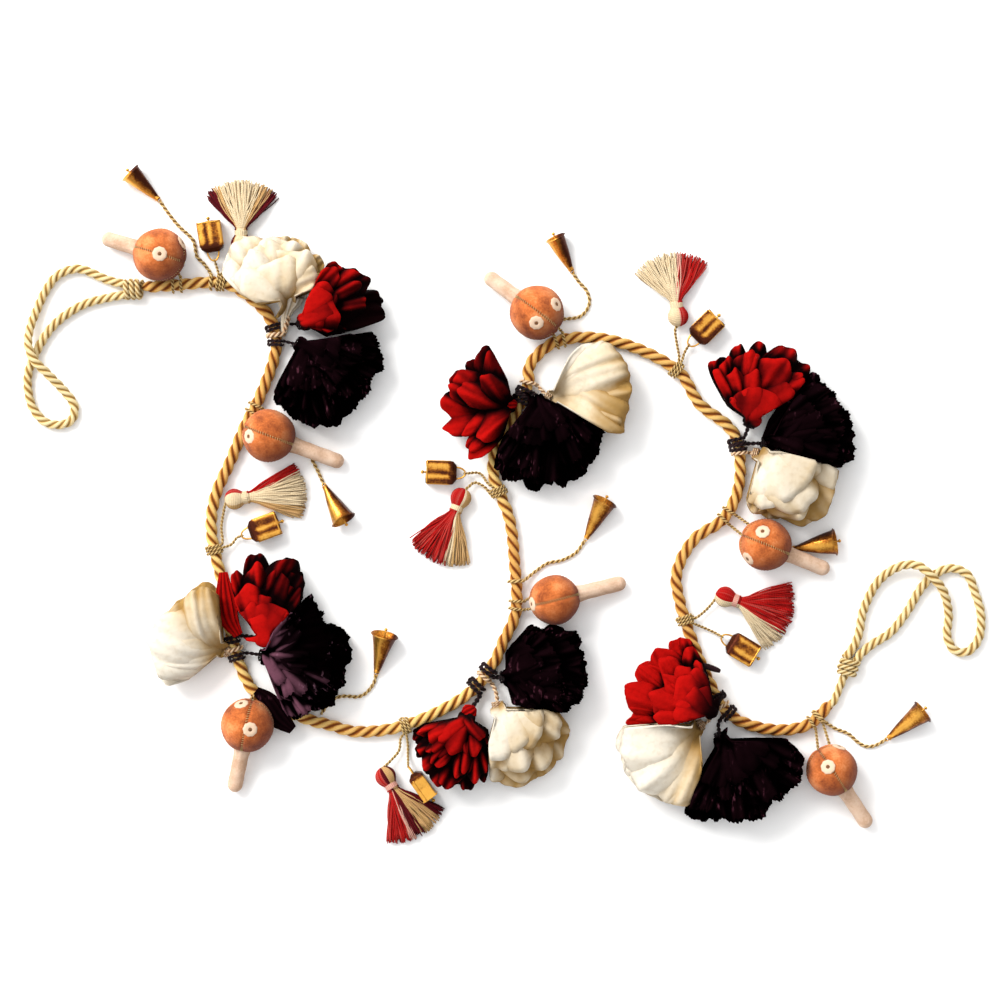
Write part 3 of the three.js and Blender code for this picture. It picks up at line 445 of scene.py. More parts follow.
@dataclass(frozen=True)
class StuffedFinish:
    """Plain-woven cloth over stuffing, with a nap and faint stains, and painted shade in its seams and on its
    side away from the light.
    """

    name: str
    shade: Colour
    body: Colour
    light: Colour
    threads: float = 6000.0  # waves of the weave in a UV unit, in radians

    def material(self) -> bpy.types.Material:
        """Builds the material."""
        graph = Graph(self.name)
        ridge, lit, _ = graph.tone()
        across, length = graph.weave()
        patch = graph.cloud(70, 4)
        nap = graph.cloud(650, 4)
        level = graph.smooth(patch + (nap - 0.5) * 0.35, 0.1, 0.95)
        colour = graph.ramp(level, [(0.0, self.shade), (0.5, self.body), (1.0, self.light)])
        # painted shade: in the seams from the ridge tone, and on the side away from the light from the lit
        # tone
        deep = graph.maths("MAXIMUM", 1 - graph.smooth(ridge, 0.0, 0.9), 1 - graph.smooth(lit, 0.12, 0.92))
        colour = graph.blend(deep * 0.85, colour, self.shade)
        weave = graph.weave_relief(across, length, self.threads)
        normal = graph.relief(weave * 0.3 + nap * 0.7, 0.0003)
        return graph.finish(colour, 0.88, normal, Sheen_Weight=0.1, Sheen_Roughness=0.5,
                            Specular_IOR_Level=0.2)


@dataclass(frozen=True)
class BrassFinish:
    """Antique brass sheet: golden where rubbed and along a painted highlight band on the cone bells, whose
    other sides get painted shade; brown and dark red where the patina stays.
    """

    name: str = "antique brass"
    gold: Colour = (0.72, 0.36, 0.06)
    amber: Colour = (0.33, 0.11, 0.012)
    brown: Colour = (0.06, 0.012, 0.004)

    def material(self) -> bpy.types.Material:
        """Builds the material."""
        graph = Graph(self.name)
        highlight_and_streaks, _, _ = graph.tone()
        broad = graph.cloud(120, 4)
        fine = graph.cloud(700, 5)
        scratches = graph.cloud(500, 4, (1, 0.08, 1))
        # the cone bells' painted highlight band and the square bells' streaks raise it towards gold
        level = graph.smooth(broad * 0.5 + fine * 0.35 + highlight_and_streaks * 0.42, 0.44, 0.86)
        colour = graph.ramp(level, [(0.0, self.brown), (0.45, self.amber), (1.0, self.gold)])
        rough = 0.4 - level * 0.16 + scratches * 0.12
        normal = graph.relief(broad * 0.8 + fine * 0.2, 0.0009)
        normal = graph.relief(scratches, 0.0001, normal)
        return graph.finish(colour, rough, normal, Metallic=0.9)


@dataclass(frozen=True)
class YarnFinish:
    """Cut threads of a tassel: each thread's kind picks its colour, with painted shade in its twist's grooves
    and on threads low in the bunch.
    """

    name: str
    stops: tuple[tuple[float, Colour], ...]
    groove: Colour = (0.2, 0.07, 0.025)
    under_shade: Colour = (0.22, 0.1, 0.05)  # painted shade on threads low in the bunch and on the head's underside

    def material(self) -> bpy.types.Material:
        """Builds the material."""
        graph = Graph(self.name)
        ridge, _, kind = graph.tone()
        around, length = graph.weave()
        colour = graph.ramp(kind, self.stops)
        # painted shade in the twist's grooves
        twist = graph.maths("SINE", (around * 2 + length * 700) * TURN)
        colour = graph.blend((1 - graph.smooth(twist, -1.0, 0.3)) * 0.45, colour, self.groove, "MULTIPLY")
        # painted shade on threads low in the bunch
        low = (1 - graph.smooth(ridge, 0.0, 0.8)) * 0.65
        colour = graph.blend(low, colour, self.under_shade, "MULTIPLY")
        normal = graph.relief(twist * 0.5 + graph.cloud(1200, 2) * 0.5, 0.00025)
        return graph.finish(colour, 0.85, normal, Sheen_Weight=0.03, Specular_IOR_Level=0.08)


def smooth_route(points: Sequence[Sequence[float]], spacing: float, height: float = 0.0) -> np.ndarray:
    """A smooth line through points.

    Args:
        points: Its points, each with or without a height.
        spacing: Distance between the line's points.
        height: Height of the points that have none.

    Returns:
        Points of the line, evenly spaced.
    """
    knots = np.array([(*p, height) if len(p) == 2 else tuple(p) for p in points], dtype=float)
    ends = np.vstack([2 * knots[0] - knots[1], knots, 2 * knots[-1] - knots[-2]])
    p0, p1, p2, p3 = ends[:-3], ends[1:-2], ends[2:-1], ends[3:]

    def gap(a: np.ndarray, b: np.ndarray) -> np.ndarray:
        """Centripetal step between two rows of points."""
        return np.sqrt(np.maximum(1e-9, np.linalg.norm(b - a, axis=1)))[:, None]

    t1 = gap(p0, p1)
    t2 = t1 + gap(p1, p2)
    t3 = t2 + gap(p2, p3)
    parts = []
    for share in np.arange(12) / 12:
        t = t1 + (t2 - t1) * share
        a1 = (t1 - t) / t1 * p0 + t / t1 * p1
        a2 = (t2 - t) / (t2 - t1) * p1 + (t - t1) / (t2 - t1) * p2
        a3 = (t3 - t) / (t3 - t2) * p2 + (t - t2) / (t3 - t2) * p3
        b1 = (t2 - t) / t2 * a1 + t / t2 * a2
        b2 = (t3 - t) / (t3 - t1) * a2 + (t - t1) / (t3 - t1) * a3
        parts.append((t2 - t) / (t2 - t1) * b1 + (t - t1) / (t2 - t1) * b2)
    line = np.vstack([np.stack(parts, 1).reshape(-1, 3), knots[-1]])
    run = run_along(line)
    count = max(2, int(round(run[-1] / spacing)) + 1)
    at = np.linspace(0, run[-1], count)
    return np.stack([np.interp(at, run, line[:, axis]) for axis in range(3)], 1)


def frames(line: np.ndarray) -> tuple[np.ndarray, np.ndarray, np.ndarray]:
    """Directions along a line that turn no more than the line does.

    Args:
        line: Its points.

    Returns:
        Along, side and top at each point.
    """
    along = np.gradient(line, axis=0)
    along /= np.linalg.norm(along, axis=1)[:, None]
    side = np.zeros_like(along)
    first = np.cross(along[0], UP)
    if np.linalg.norm(first) < 0.1:
        first = np.cross(along[0], (0, 1, 0))
    side[0] = unit(first)
    for i in range(1, len(line)):
        side[i] = unit(side[i - 1] - along[i] * np.dot(side[i - 1], along[i]))
    return along, side, np.cross(side, along)


def unit(way: np.ndarray) -> np.ndarray:
    """A direction at length one."""
    return way / np.linalg.norm(way)


def square_to(along: np.ndarray) -> tuple[np.ndarray, np.ndarray]:
    """The level direction across another, and the one that stands on both."""
    side = unit(np.cross(along, UP))
    return side, np.cross(side, along)


def heading(turn: float) -> tuple[np.ndarray, np.ndarray]:
    """The level direction at a turn in radians, and the one to its left."""
    out = np.array([math.cos(turn), math.sin(turn), 0.0])
    return out, np.array([-out[1], out[0], 0.0])


def circle(middle: np.ndarray, one: np.ndarray, other: np.ndarray, steps: int, first: float = 0.0,
           last: float = TURN) -> np.ndarray:
    """Points round a middle.

    Args:
        middle: The middle.
        one: From the middle to the circle at angle 0.
        other: From the middle to the circle a quarter turn on.
        steps: How many steps the points are apart from end to end.
        first: The first point's angle.
        last: The last point's angle.

    Returns:
        The points.
    """
    angle = np.linspace(first, last, steps + 1)[:, None]
    return middle + one * np.cos(angle) + other * np.sin(angle)


def run_along(line: np.ndarray) -> np.ndarray:
    """How far along a line each of its points is."""
    return np.concatenate([[0], np.cumsum(np.linalg.norm(np.diff(line, axis=0), axis=1))])


def swept(line: np.ndarray, side: np.ndarray, top: np.ndarray, wide: np.ndarray,
          angle: np.ndarray) -> np.ndarray:
    """A net of points round a line.

    Args:
        line: The line.
        side: The direction at angle 0, at each point.
        top: The direction a quarter turn on, at each point.
        wide: How far out each point of the net is, rows by columns.
        angle: Where round the line it is.

    Returns:
        The net.
    """
    return line[:, None, :] + wide[..., None] * (side[:, None, :] * np.cos(angle)[..., None]
                                                 + top[:, None, :] * np.sin(angle)[..., None])


def toned(shape: tuple[int, ...], *parts: "np.ndarray | float") -> np.ndarray:
    """The tones of a net of a shape: ridge, along and kind, each a number or an array."""
    return np.stack([np.broadcast_to(part, shape) for part in parts], -1)


def around(field: np.ndarray) -> list[np.ndarray]:
    """A height map shifted by one cell each way."""
    return [np.roll(field, shift, axis) for axis in (0, 1) for shift in (-1, 1)]


class Weft:
    """Meshes gathered for one piece, with UVs on the corners and a tone on the points."""

    def __init__(self) -> None:
        """Starts empty."""
        self.points: list[np.ndarray] = []
        self.tones: list[np.ndarray] = []
        self.loops: list[np.ndarray] = []
        self.sizes: list[np.ndarray] = []
        self.uvs: list[np.ndarray] = []
        self.count = 0

    def grid(self, net: np.ndarray, tone: np.ndarray, across: np.ndarray, along: np.ndarray,
             closed: bool = False, ends: bool = False) -> None:
        """Adds a net of quads.

        Args:
            net: Points, rows by columns by 3.
            tone: Tones, rows by columns by 3.
            across: The first UV number of each column, one more when closed.
            along: The second UV number of each row.
            closed: Whether the last column joins the first.
            ends: Whether flat faces close the first and last rows.
        """
        rows, columns = net.shape[:2]
        i = np.arange(rows - 1)[:, None]
        j = np.arange(columns if closed else columns - 1)[None, :]
        after = (j + 1) % columns
        corners = [(i, j, j), (i, after, j + 1), (i + 1, after, j + 1), (i + 1, j, j)]
        shape = np.broadcast(i, j).shape
        faces = np.stack([np.broadcast_to(r * columns + c, shape) for r, c, _ in corners], -1)
        uv = np.stack([np.stack([np.broadcast_to(across[u], shape), np.broadcast_to(along[r], shape)], -1)
                       for r, _, u in corners], 2)
        self.points.append(net.reshape(-1, 3))
        self.tones.append(np.array(np.broadcast_to(tone, net.shape)).reshape(-1, 3))
        self.loops.append(faces.reshape(-1) + self.count)
        self.uvs.append(uv.reshape(-1, 2))
        self.sizes.append(np.full(faces.size // 4, 4))
        if ends:
            for ring, row in ((np.arange(columns)[::-1], 0), (np.arange(columns) + (rows - 1) * columns, -1)):
                self.loops.append(ring + self.count)
                self.sizes.append(np.array([columns]))
                self.uvs.append(np.tile([[across[0], along[row]]], (columns, 1)))
        self.count += rows * columns

    def tube(self, line: np.ndarray, radius: "np.ndarray | float", sides: int,
             tone: Sequence[float] = (1, 1, 0.5)) -> None:
        """Adds a round tube.

        Args:
            line: Its middle line.
            radius: Its radius, or one for each point.
            sides: Sides of its section.
            tone: The tone of its points.
        """
        _, side, top = frames(line)
        angle = -TURN * np.arange(sides)[None, :] / sides
        net = swept(line, side, top, np.broadcast_to(radius, (len(line),))[:, None], angle)
        self.grid(net, np.array(tone), np.arange(sides + 1) / sides, run_along(line), closed=True, ends=True)

    def twist(self, line: np.ndarray, radius: float, lay: float, strands: int, per_strand: int,
              taper: float = 0.0) -> None:
        """Adds a twisted cord: strands that bulge between deep grooves and turn round the line.

        Args:
            line: Its middle line.
            radius: Its radius on a strand.
            lay: Length of one turn of the strands.
            strands: How many strands.
            per_strand: Faces across each strand.
            taper: Length of each end's taper.
        """
        _, side, top = frames(line)
        sides = strands * per_strand
        half = math.pi / strands
        local = (np.arange(sides) % per_strand + 0.5) / per_strand * 2 - 1
        from_middle = np.sign(local) * np.abs(local) ** 0.8 * half
        bulge = 1 - STRAND_OUT
        reach = STRAND_OUT * np.cos(from_middle) + np.sqrt(bulge**2 - (STRAND_OUT * np.sin(from_middle))**2)
        centre = (np.arange(sides) // per_strand) * 2 * half
        run = run_along(line)
        angle = -(centre + from_middle)[None, :] + (TURN / lay) * run[:, None]
        size = np.full(len(line), radius)
        if taper:
            size *= np.sqrt(np.clip(np.minimum(run, run[-1] - run) / taper, 0.08, 1))
        net = swept(line, side, top, size[:, None] * reach[None, :], angle)
        # the strands' tone: painted light on their crests, painted shade in the grooves between them
        ridge = (reach - reach.min()) / (1 - reach.min())
        self.grid(net, toned(net.shape[:2], ridge, 1.0, 0.5), np.arange(sides + 1) / sides, run,
                  closed=True, ends=True)

    def piece(self, name: str, look: bpy.types.Material, flat: bool = False) -> bpy.types.Object:
        """Makes the gathered meshes one object.

        Args:
            name: The object's name.
            look: Its material.
            flat: Whether its faces stay flat.

        Returns:
            The object.
        """
        mesh = bpy.data.meshes.new(name)
        points = np.concatenate(self.points)
        loops = np.concatenate(self.loops)
        sizes = np.concatenate(self.sizes)
        mesh.vertices.add(len(points))
        mesh.vertices.foreach_set("co", points.ravel())
        mesh.loops.add(len(loops))
        mesh.loops.foreach_set("vertex_index", loops)
        mesh.polygons.add(len(sizes))
        mesh.polygons.foreach_set("loop_start", np.concatenate([[0], np.cumsum(sizes)[:-1]]))
        mesh.polygons.foreach_set("use_smooth", np.full(len(sizes), not flat))
        mesh.uv_layers.new(name="weave").data.foreach_set("uv", np.concatenate(self.uvs).ravel())
        stored = mesh.attributes.new("tone", "FLOAT_VECTOR", "POINT")
        stored.data.foreach_set("vector", np.concatenate(self.tones).ravel())
        mesh.update(calc_edges=True)
        mesh.validate()
        made = bpy.data.objects.new(name, mesh)
        bpy.context.scene.collection.objects.link(made)
        mesh.materials.append(look)
        return made


@dataclass
class RopeLine:
    """The rope's middle line, which ties and cloth find their way round."""

    line: np.ndarray

    def nearest(self, x: float, y: float) -> tuple[np.ndarray, np.ndarray]:
        """The line's point nearest to a place, and its direction there."""
        at = int(np.argmin(np.hypot(self.line[:, 0] - x, self.line[:, 1] - y)))
        at = min(max(at, 1), len(self.line) - 2)
        return self.line[at], unit(self.line[at + 1] - self.line[at - 1])

    def hitch(self, x: float, y: float, radius: float, start: np.ndarray, turns: int = 2) -> list[np.ndarray]:
        """Points of a cord that comes from a place and passes over the rope.

        Args:
            x: Where it crosses the rope.
            y: Where it crosses the rope.
            radius: The cord's radius.
            start: The last point before the rope.
            turns: How many times it passes over.

        Returns:
            The points.
        """
        point, along = self.nearest(x, y)
        side = unit(np.cross(along, UP))
        own = 1 if np.dot(side, start - point) > 0 else -1
        reach = ROPE_RADIUS + 0.85 * radius
        made = []
        for turn in range(turns):
            middle = point + along * radius * (2 * turn - turns + 1)
            for angle in np.radians(OVER_STEPS[::-1] if turn % 2 else OVER_STEPS):
                spot = middle + own * side * reach * math.cos(angle) + UP * reach * math.sin(angle)
                spot[2] = max(spot[2], radius + 2.5 * LIFT)
                made.append(spot)
        return made

    def clear(self, points: np.ndarray, room: float) -> np.ndarray:
        """Points moved out of the rope.

        Args:
            points: The points.
            room: Nearest that they may be to the rope's middle line.

        Returns:
            The moved points.
        """
        low, high = points.min(0) - room, points.max(0) + room
        near = self.line[np.all((self.line[:, :2] > low[:2]) & (self.line[:, :2] < high[:2]), axis=1)]
        if not len(near):
            return points
        near = near[::3]
        gap = points[:, None, :] - near[None, :, :]
        far = np.linalg.norm(gap, axis=2)
        which = far.argmin(1)
        closest = far[np.arange(len(points)), which]
        push = gap[np.arange(len(points)), which] + np.array([0, 0, 0.0015])
        push /= np.maximum(1e-6, np.linalg.norm(push, axis=1))[:, None]
        return np.where((closest < room)[:, None], near[which] + push * room, points)


def finish_piece(piece: bpy.types.Object, slot: str, *nodes: str) -> bpy.types.Object:
    """Puts a piece on the body and reports it.

    Args:
        piece: The piece.
        slot: The record's material slot; not used.
        *nodes: Model nodes that it stands for.

    Returns:
        The piece.
    """
    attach(piece, BODY)
    if nodes:
        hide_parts(*nodes)
    LOG.info("%s: %d faces", piece.name, len(piece.data.polygons))
    return piece


@dataclass
class MainRope:
    """The three-strand cotton rope that carries everything."""

    look: bpy.types.Material
    step: float = 0.0016

    def build(self) -> RopeLine:
        """Builds the rope.

        Returns:
            Its middle line.
        """
        line = smooth_route(ROPE_ROUTE, self.step, ROPE_RADIUS + LIFT)
        weft = Weft()
        weft.twist(line, ROPE_RADIUS, ROPE_LAY, 3, 10, taper=0.006)
        rope = finish_piece(weft.piece("rope_laid", self.look), "rope", "rope")
        return RopeLine(line)


@dataclass
class EndLoop:
    """A hanging loop of pale cord, whose two legs are wrapped together."""

    name: str
    route: Route
    wrap_at: tuple[float, float]
    wrap_turn: float
    look: bpy.types.Material
    tail: Route = ()
    coils: int = 3
    coil_radius: float = 0.0023
    half_width: float = 0.0066
    half_height: float = 0.0044
    lay: float = 0.014  # of the wrap's cord
    spacing: float = 0.0014

    def wrap(self) -> bpy.types.Object:
        """Winds the cord's own end round both legs."""
        way, side = heading(math.radians(self.wrap_turn))
        middle = np.array([*self.wrap_at, self.half_height + self.coil_radius + LIFT])
        steps = 26 * self.coils
        points = circle(middle, side * self.half_width, UP * self.half_height, steps, 0.0, TURN * self.coils)
        points += way * np.linspace(-1, 1, steps + 1)[:, None] * (self.coils * self.coil_radius)
        weft = Weft()
        weft.twist(points, self.coil_radius, self.lay, 3, 6, taper=0.002)
        return finish_piece(weft.piece(f"{self.name}_wrap", self.look), "loop_cord")

    def build(self) -> None:
        """Builds the loop, its wrap and its tail."""
        wrap = self.wrap()
        line = smooth_route(self.route, self.spacing)
        weft = Weft()
        weft.twist(line, LOOP_RADIUS, LOOP_LAY, 3, 8, taper=0.003)
        loop = finish_piece(weft.piece(f"{self.name}_laid", self.look), "loop_cord", self.name)
        if self.tail:
            weft = Weft()
            weft.twist(smooth_route(self.tail, self.spacing), LOOP_RADIUS * 0.9, LOOP_LAY, 3, 8, taper=0.004)
            finish_piece(weft.piece(f"{self.name}_tail", self.look), "loop_cord")


@dataclass(frozen=True)
class PetalRow:
    """One row of a pompom's cloth strips: how steeply they stand, and how they are folded."""

    rise: float  # degrees over the surface
    count: int
    wide: float  # half width at the end, as a share of the reach
    arch: float  # how high a strip puffs up across, as a share of its half width
    ripple: float  # metres, at the end
    waves: float
    curl: float  # degrees that a strip bends down towards its end
    longer: float = 1.0  # its length as a share of the way to the pompom's skin


CREAM_ROWS = (
    PetalRow(4, 7, 0.34, 0.34, 0.0022, 1.4, 12),
    PetalRow(20, 5, 0.4, 0.38, 0.0026, 1.4, 42),
    PetalRow(40, 4, 0.44, 0.42, 0.0028, 1.4, 72),
    PetalRow(62, 3, 0.46, 0.42, 0.0026, 1.3, 98),
)
RED_ROWS = (
    PetalRow(3, 9, 0.2, 0.5, 0.0028, 1.4, 4),
    PetalRow(17, 8, 0.21, 0.58, 0.0034, 1.4, 24),
    PetalRow(34, 7, 0.22, 0.62, 0.0038, 1.5, 44),
    PetalRow(54, 5, 0.24, 0.6, 0.004, 1.4, 66),
    PetalRow(74, 3, 0.28, 0.56, 0.004, 1.2, 92),
)
FLOWER_ROWS = (
    PetalRow(5, 7, 0.25, 0.42, 0.0014, 1.0, 8),
    PetalRow(22, 5, 0.25, 0.46, 0.0018, 1.0, 30),
    PetalRow(46, 3, 0.24, 0.5, 0.002, 1.1, 56),
)
FAN_ROWS = (
    PetalRow(4, 6, 0.42, 0.14, 0.0026, 2.8, 6),
    PetalRow(22, 4, 0.48, 0.16, 0.0028, 2.4, 40, 1.1),
    PetalRow(40, 3, 0.58, 0.2, 0.003, 2.2, 82, 1.35),
)
DARK_ROWS = (
    PetalRow(3, 8, 0.27, 0.36, 0.0036, 1.8, 4),
    PetalRow(15, 7, 0.28, 0.42, 0.005, 1.9, 18),
    PetalRow(30, 6, 0.29, 0.46, 0.006, 1.9, 36),
    PetalRow(48, 5, 0.3, 0.46, 0.0064, 1.8, 56),
    PetalRow(68, 4, 0.32, 0.46, 0.0064, 1.7, 84),
)


@dataclass(frozen=True)
class ClothStyle:
    """How the pompoms of one colour are made."""

    rows: tuple[PetalRow, ...]
    rim: Rim
    slot: str
    columns: int
    steps: int
    wander: float  # how far a strip strays from its even place, as a share of its width
    ply: float  # thickness of the cloth
    hollow: float  # the difference in height that gives a hollow its full painted shade
    ragged: float  # how far its outline wanders, as a share of the reach


STYLES = {
    Hue.CREAM: ClothStyle(CREAM_ROWS, Rim.ROUND, "cream_cloth", 21, 17, 0.3, 0.0009, 0.02, 0.008),
    Hue.RED: ClothStyle(RED_ROWS, Rim.POINTED, "red_cloth", 17, 17, 0.35, 0.0007, 0.0085, 0.016),
    Hue.DARK: ClothStyle(DARK_ROWS, Rim.PINKED, "dark_cloth", 27, 13, 0.4, 0.0005, 0.0075, 0.03),
}


def hollows(sheets: list[np.ndarray], depth: float, cell: float = 0.0012, spread: int = 26) -> list:
    """Finds how far cloth stands over or under the cloth around it, seen from above, for painted shade in
    hollows and painted light on crests.

    Args:
        sheets: The points of each strip.
        depth: The difference in height that counts in full.
        cell: Size of a cell of the height map.
        spread: Steps of smoothing.

    Returns:
        For each strip a level from 0 in the hollows to 1 on the crests.
    """
    points = np.concatenate(sheets)
    low = points[:, :2].min(0) - 4 * cell
    spots = [np.floor((sheet[:, :2] - low) / cell).astype(int) for sheet in sheets]
    size = np.concatenate(spots).max(0) + 5
    top = np.zeros(size)
    for spot, sheet in zip(spots, sheets):
        np.maximum.at(top, (spot[:, 0], spot[:, 1]), sheet[:, 2])
    for _ in range(2):
        top = np.maximum.reduce([top, *around(top)])
    weight = (top > 0).astype(float)
    near, share = top.copy(), weight.copy()
    for _ in range(spread):
        near = 0.5 * near + 0.125 * sum(around(near))
        share = 0.5 * share + 0.125 * sum(around(share))
    mean = near / np.maximum(share, 0.05)
    return [0.55 + (sheet[:, 2] - mean[spot[:, 0], spot[:, 1]]) / depth for spot, sheet in zip(spots, sheets)]


@dataclass
class Pompom:
    """A half ball of cloth strips that are gathered at a neck and tied to the rope."""

    number: int
    hue: Hue
    neck: tuple[float, float]
    tied_at: tuple[float, float]
    tie_radius: float
    look: bpy.types.Material
    tie_look: bpy.types.Material
    rope: RopeLine
    way: Route = ()
    height: float = 0.044
    neck_height: float = 0.009
    stretch: float = 1.0  # widens each strip, where few large ones show
    rows: tuple[PetalRow, ...] | None = None  # its own rows, where they differ from its colour's
    shade: tuple[float, float] = (-40.0, 0.3)  # the way of its painted shade, which lightens the opposite side, and how much
    neck_width: float = 0.0026  # half width of a strip where it is gathered
    binding: float = 0.0011  # radius of the cord bound round the neck
    binding_out: float = 0.0042  # how far out it runs
    directions: int = 144  # in which the outline is measured
    soft_low: float = 0.004  # below this the cloth is pressed towards the surface
    soft_top: float = 0.006  # over how much height the cloth bends under its top

    @property
    def name(self) -> str:
        """The pompom's name, which is its node's too."""
        return f"pompom_{self.hue.value}_{self.number}"

    def outline(self) -> tuple[np.ndarray, np.ndarray]:
        """How far the pompom's node reaches from the neck, all round.

        Returns:
            The angles, and the reach at each.
        """
        mesh = bpy.data.objects[self.name].data
        points = np.empty(len(mesh.vertices) * 3)
        mesh.vertices.foreach_get("co", points)
        edges = np.empty(len(mesh.edges) * 2, dtype=int)
        mesh.edges.foreach_get("vertices", edges)
        one, other = points.reshape(-1, 3)[edges.reshape(-1, 2).T]
        share = np.linspace(0, 1, 25)[None, :, None]
        spots = (one[:, None, :2] * (1 - share) + other[:, None, :2] * share).reshape(-1, 2) - self.neck
        count = self.directions
        where = np.floor((np.arctan2(spots[:, 1], spots[:, 0]) / TURN % 1) * count).astype(int)
        reach = np.zeros(count)
        np.maximum.at(reach, np.clip(where, 0, count - 1), np.hypot(spots[:, 0], spots[:, 1]))
        return (np.arange(count) + 0.5) * TURN / count, reach

    def span(self, reach: np.ndarray) -> tuple[float, float]:
        """The run of directions that the cloth fans out in.

        Args:
            reach: The reach in each direction all round.

        Returns:
            The first and last direction.
        """
        wide = reach > 0.3 * reach.max()
        count = len(reach)
        first = last = int(reach.argmax())
        top = first
        while wide[(first - 1) % count] and top - first < count:
            first -= 1
        while wide[(last + 1) % count] and last - first < count - 1:
            last += 1
        return (first + 0.5) * TURN / count, (last + 0.5) * TURN / count

    def strip(self, weft: Weft, row: PetalRow, style: ClothStyle, turn: float, reach: float,
              chance: random.Random) -> None:
        """Adds one strip of cloth, from the neck to its cut end.

        Args:
            weft: What it is added to.
            row: Its row.
            style: Its colour's way of folding.
            turn: Its direction.
            reach: How far the pompom reaches that way.
            chance: Source of its small differences.
        """
        u = np.linspace(-1, 1, style.columns)[None, :]
        v = np.linspace(0, 1, style.steps)[:, None]
        rise = math.radians(max(0.0, row.rise + chance.uniform(-7, 8)))
        full = 1 / math.hypot(math.cos(rise) / reach, math.sin(rise) / self.height)
        full *= chance.uniform(0.93, 1.05) * (1.05 if row.rise < 10 else row.longer)
        end = self.end_cut(style.rim, u, chance)
        bend = rise * 1.12 - math.radians(row.curl) * v**2.2
        step = full * end / (style.steps - 1)
        run = np.cumsum(np.cos(bend) * step * (v > 0), axis=0)
        up = np.cumsum(np.sin(bend) * step * (v > 0), axis=0)
        half = self.stretch * row.wide * reach * chance.uniform(0.7, 1.3)
        opened = np.sin(np.minimum(v * 1.15, 1) * math.pi / 2) ** 0.85
        width = (self.neck_width + (half - self.neck_width) * opened) * (1 - 0.12 * v**4)
        arch = row.arch * chance.uniform(0.75, 1.2) * width * (1 - u**2) ** 0.8 * (0.5 + 0.5 * v)
        folds = row.waves * math.pi * u
        wave = row.ripple * v**1.6 * np.sin(folds + chance.uniform(0, 6.28))
        second = 0.45 * row.ripple * v**1.1 * np.sin(2.3 * folds + 5 * v + chance.uniform(0, 6.28))
        lean = chance.uniform(-0.4, 0.4)
        lift = arch + wave + second + lean * width * u * 0.6
        sway = width * 0.1 * np.sin(3.1 * v + chance.uniform(0, 6.28))
        sway = sway + width * 0.12 * np.sin(2.4 * u + 4 * v)
        across = width * u * (1 - 0.1 * v * np.abs(u)) + sway
        ahead = run - lift * np.sin(bend)
        out, side = heading(turn)
        net = np.array([*self.neck, self.neck_height]) + out * ahead[..., None] + side * across[..., None]
        net[..., 2] += up + lift * np.cos(bend)
        # painted light along the strip's middle and on the ripples' crests, painted shade towards its edges
        crest = (1 - np.abs(u) ** 1.7) * 0.75 + 0.3 * (wave + second) / (1.3 * row.ripple) * v + 0.12
        tone = toned(net.shape[:2], np.clip(crest, 0, 1), v, chance.random())
        weft.grid(net[:, ::-1], tone[:, ::-1], u[0] * half, v[:, 0] * full)

    def settle(self, points: np.ndarray, angles: np.ndarray, reach: np.ndarray) -> np.ndarray:
        """Keeps the cloth inside the pompom's outline, over the surface and off the rope.

        Args:
            points: The cloth's points.
            angles: Directions all round.
            reach: How far the cloth may reach in each.

        Returns:
            The settled points.
        """
        flat = points[:, :2] - self.neck
        turn = np.arctan2(flat[:, 1], flat[:, 0]) % TURN
        edge = np.interp(turn, angles, np.maximum(reach, 0.006), period=TURN)
        wander = np.sin(turn * 21 + self.number) + 0.6 * np.sin(turn * 45 + 2 * self.number)
        ratio = np.hypot(flat[:, 0], flat[:, 1]) / (edge * (1 + STYLES[self.hue].ragged * wander))
        kept = np.where(ratio < 0.9, ratio, 0.9 + 0.11 * (1 - np.exp(-(ratio - 0.9) / 0.13)))
        scale = np.where(ratio > 1e-6, kept / np.maximum(ratio, 1e-6), 1)
        moved = points.copy()
        moved[:, :2] = flat * scale[:, None] + self.neck
        low = moved[:, 2]
        pressed = BED + 0.0037 * np.exp((low - self.soft_low) / self.soft_low)
        squeezed = np.where(low < self.soft_low, pressed, low)
        top = 0.85 * self.height
        over = top + self.soft_top * (1 - np.exp(-(squeezed - top) / self.soft_top))
        moved[:, 2] = np.where(squeezed > top, over, squeezed)
        return self.rope.clear(moved, ROPE_RADIUS + 0.0012)

    def build(self) -> None:
        """Builds the cloth and its tie."""
        style = STYLES[self.hue]
        chance = random.Random(f"{self.name} cloth")
        angles, reach = self.outline()
        first, last = self.span(reach)
        weft = Weft()
        for row in self.rows or style.rows:
            count = max(3, round(row.count * (last - first) / math.radians(150)))
            if self.stretch > 1:
                count = max(3, round(count / self.stretch))
            for k in range(count):
                share = (k + 0.5 + chance.uniform(-style.wander, style.wander)) / count
                turn = first + (last - first) * (0.04 + 0.92 * share)
                far = float(np.interp(turn % TURN, angles, reach, period=TURN))
                self.strip(weft, row, style, turn, max(far, 0.03), chance)
        weft.points = [self.settle(points, angles, reach) for points in weft.points]
        length = float(reach.max())
        self.paint_cloth_shade(weft, style.hollow, length)
        cloth = finish_piece(weft.piece(f"{self.name}_cloth", self.look), style.slot, self.name)
        ply = cloth.modifiers.new("ply", "SOLIDIFY")
        ply.thickness, ply.offset = style.ply, 0.0
        self.tie(style)

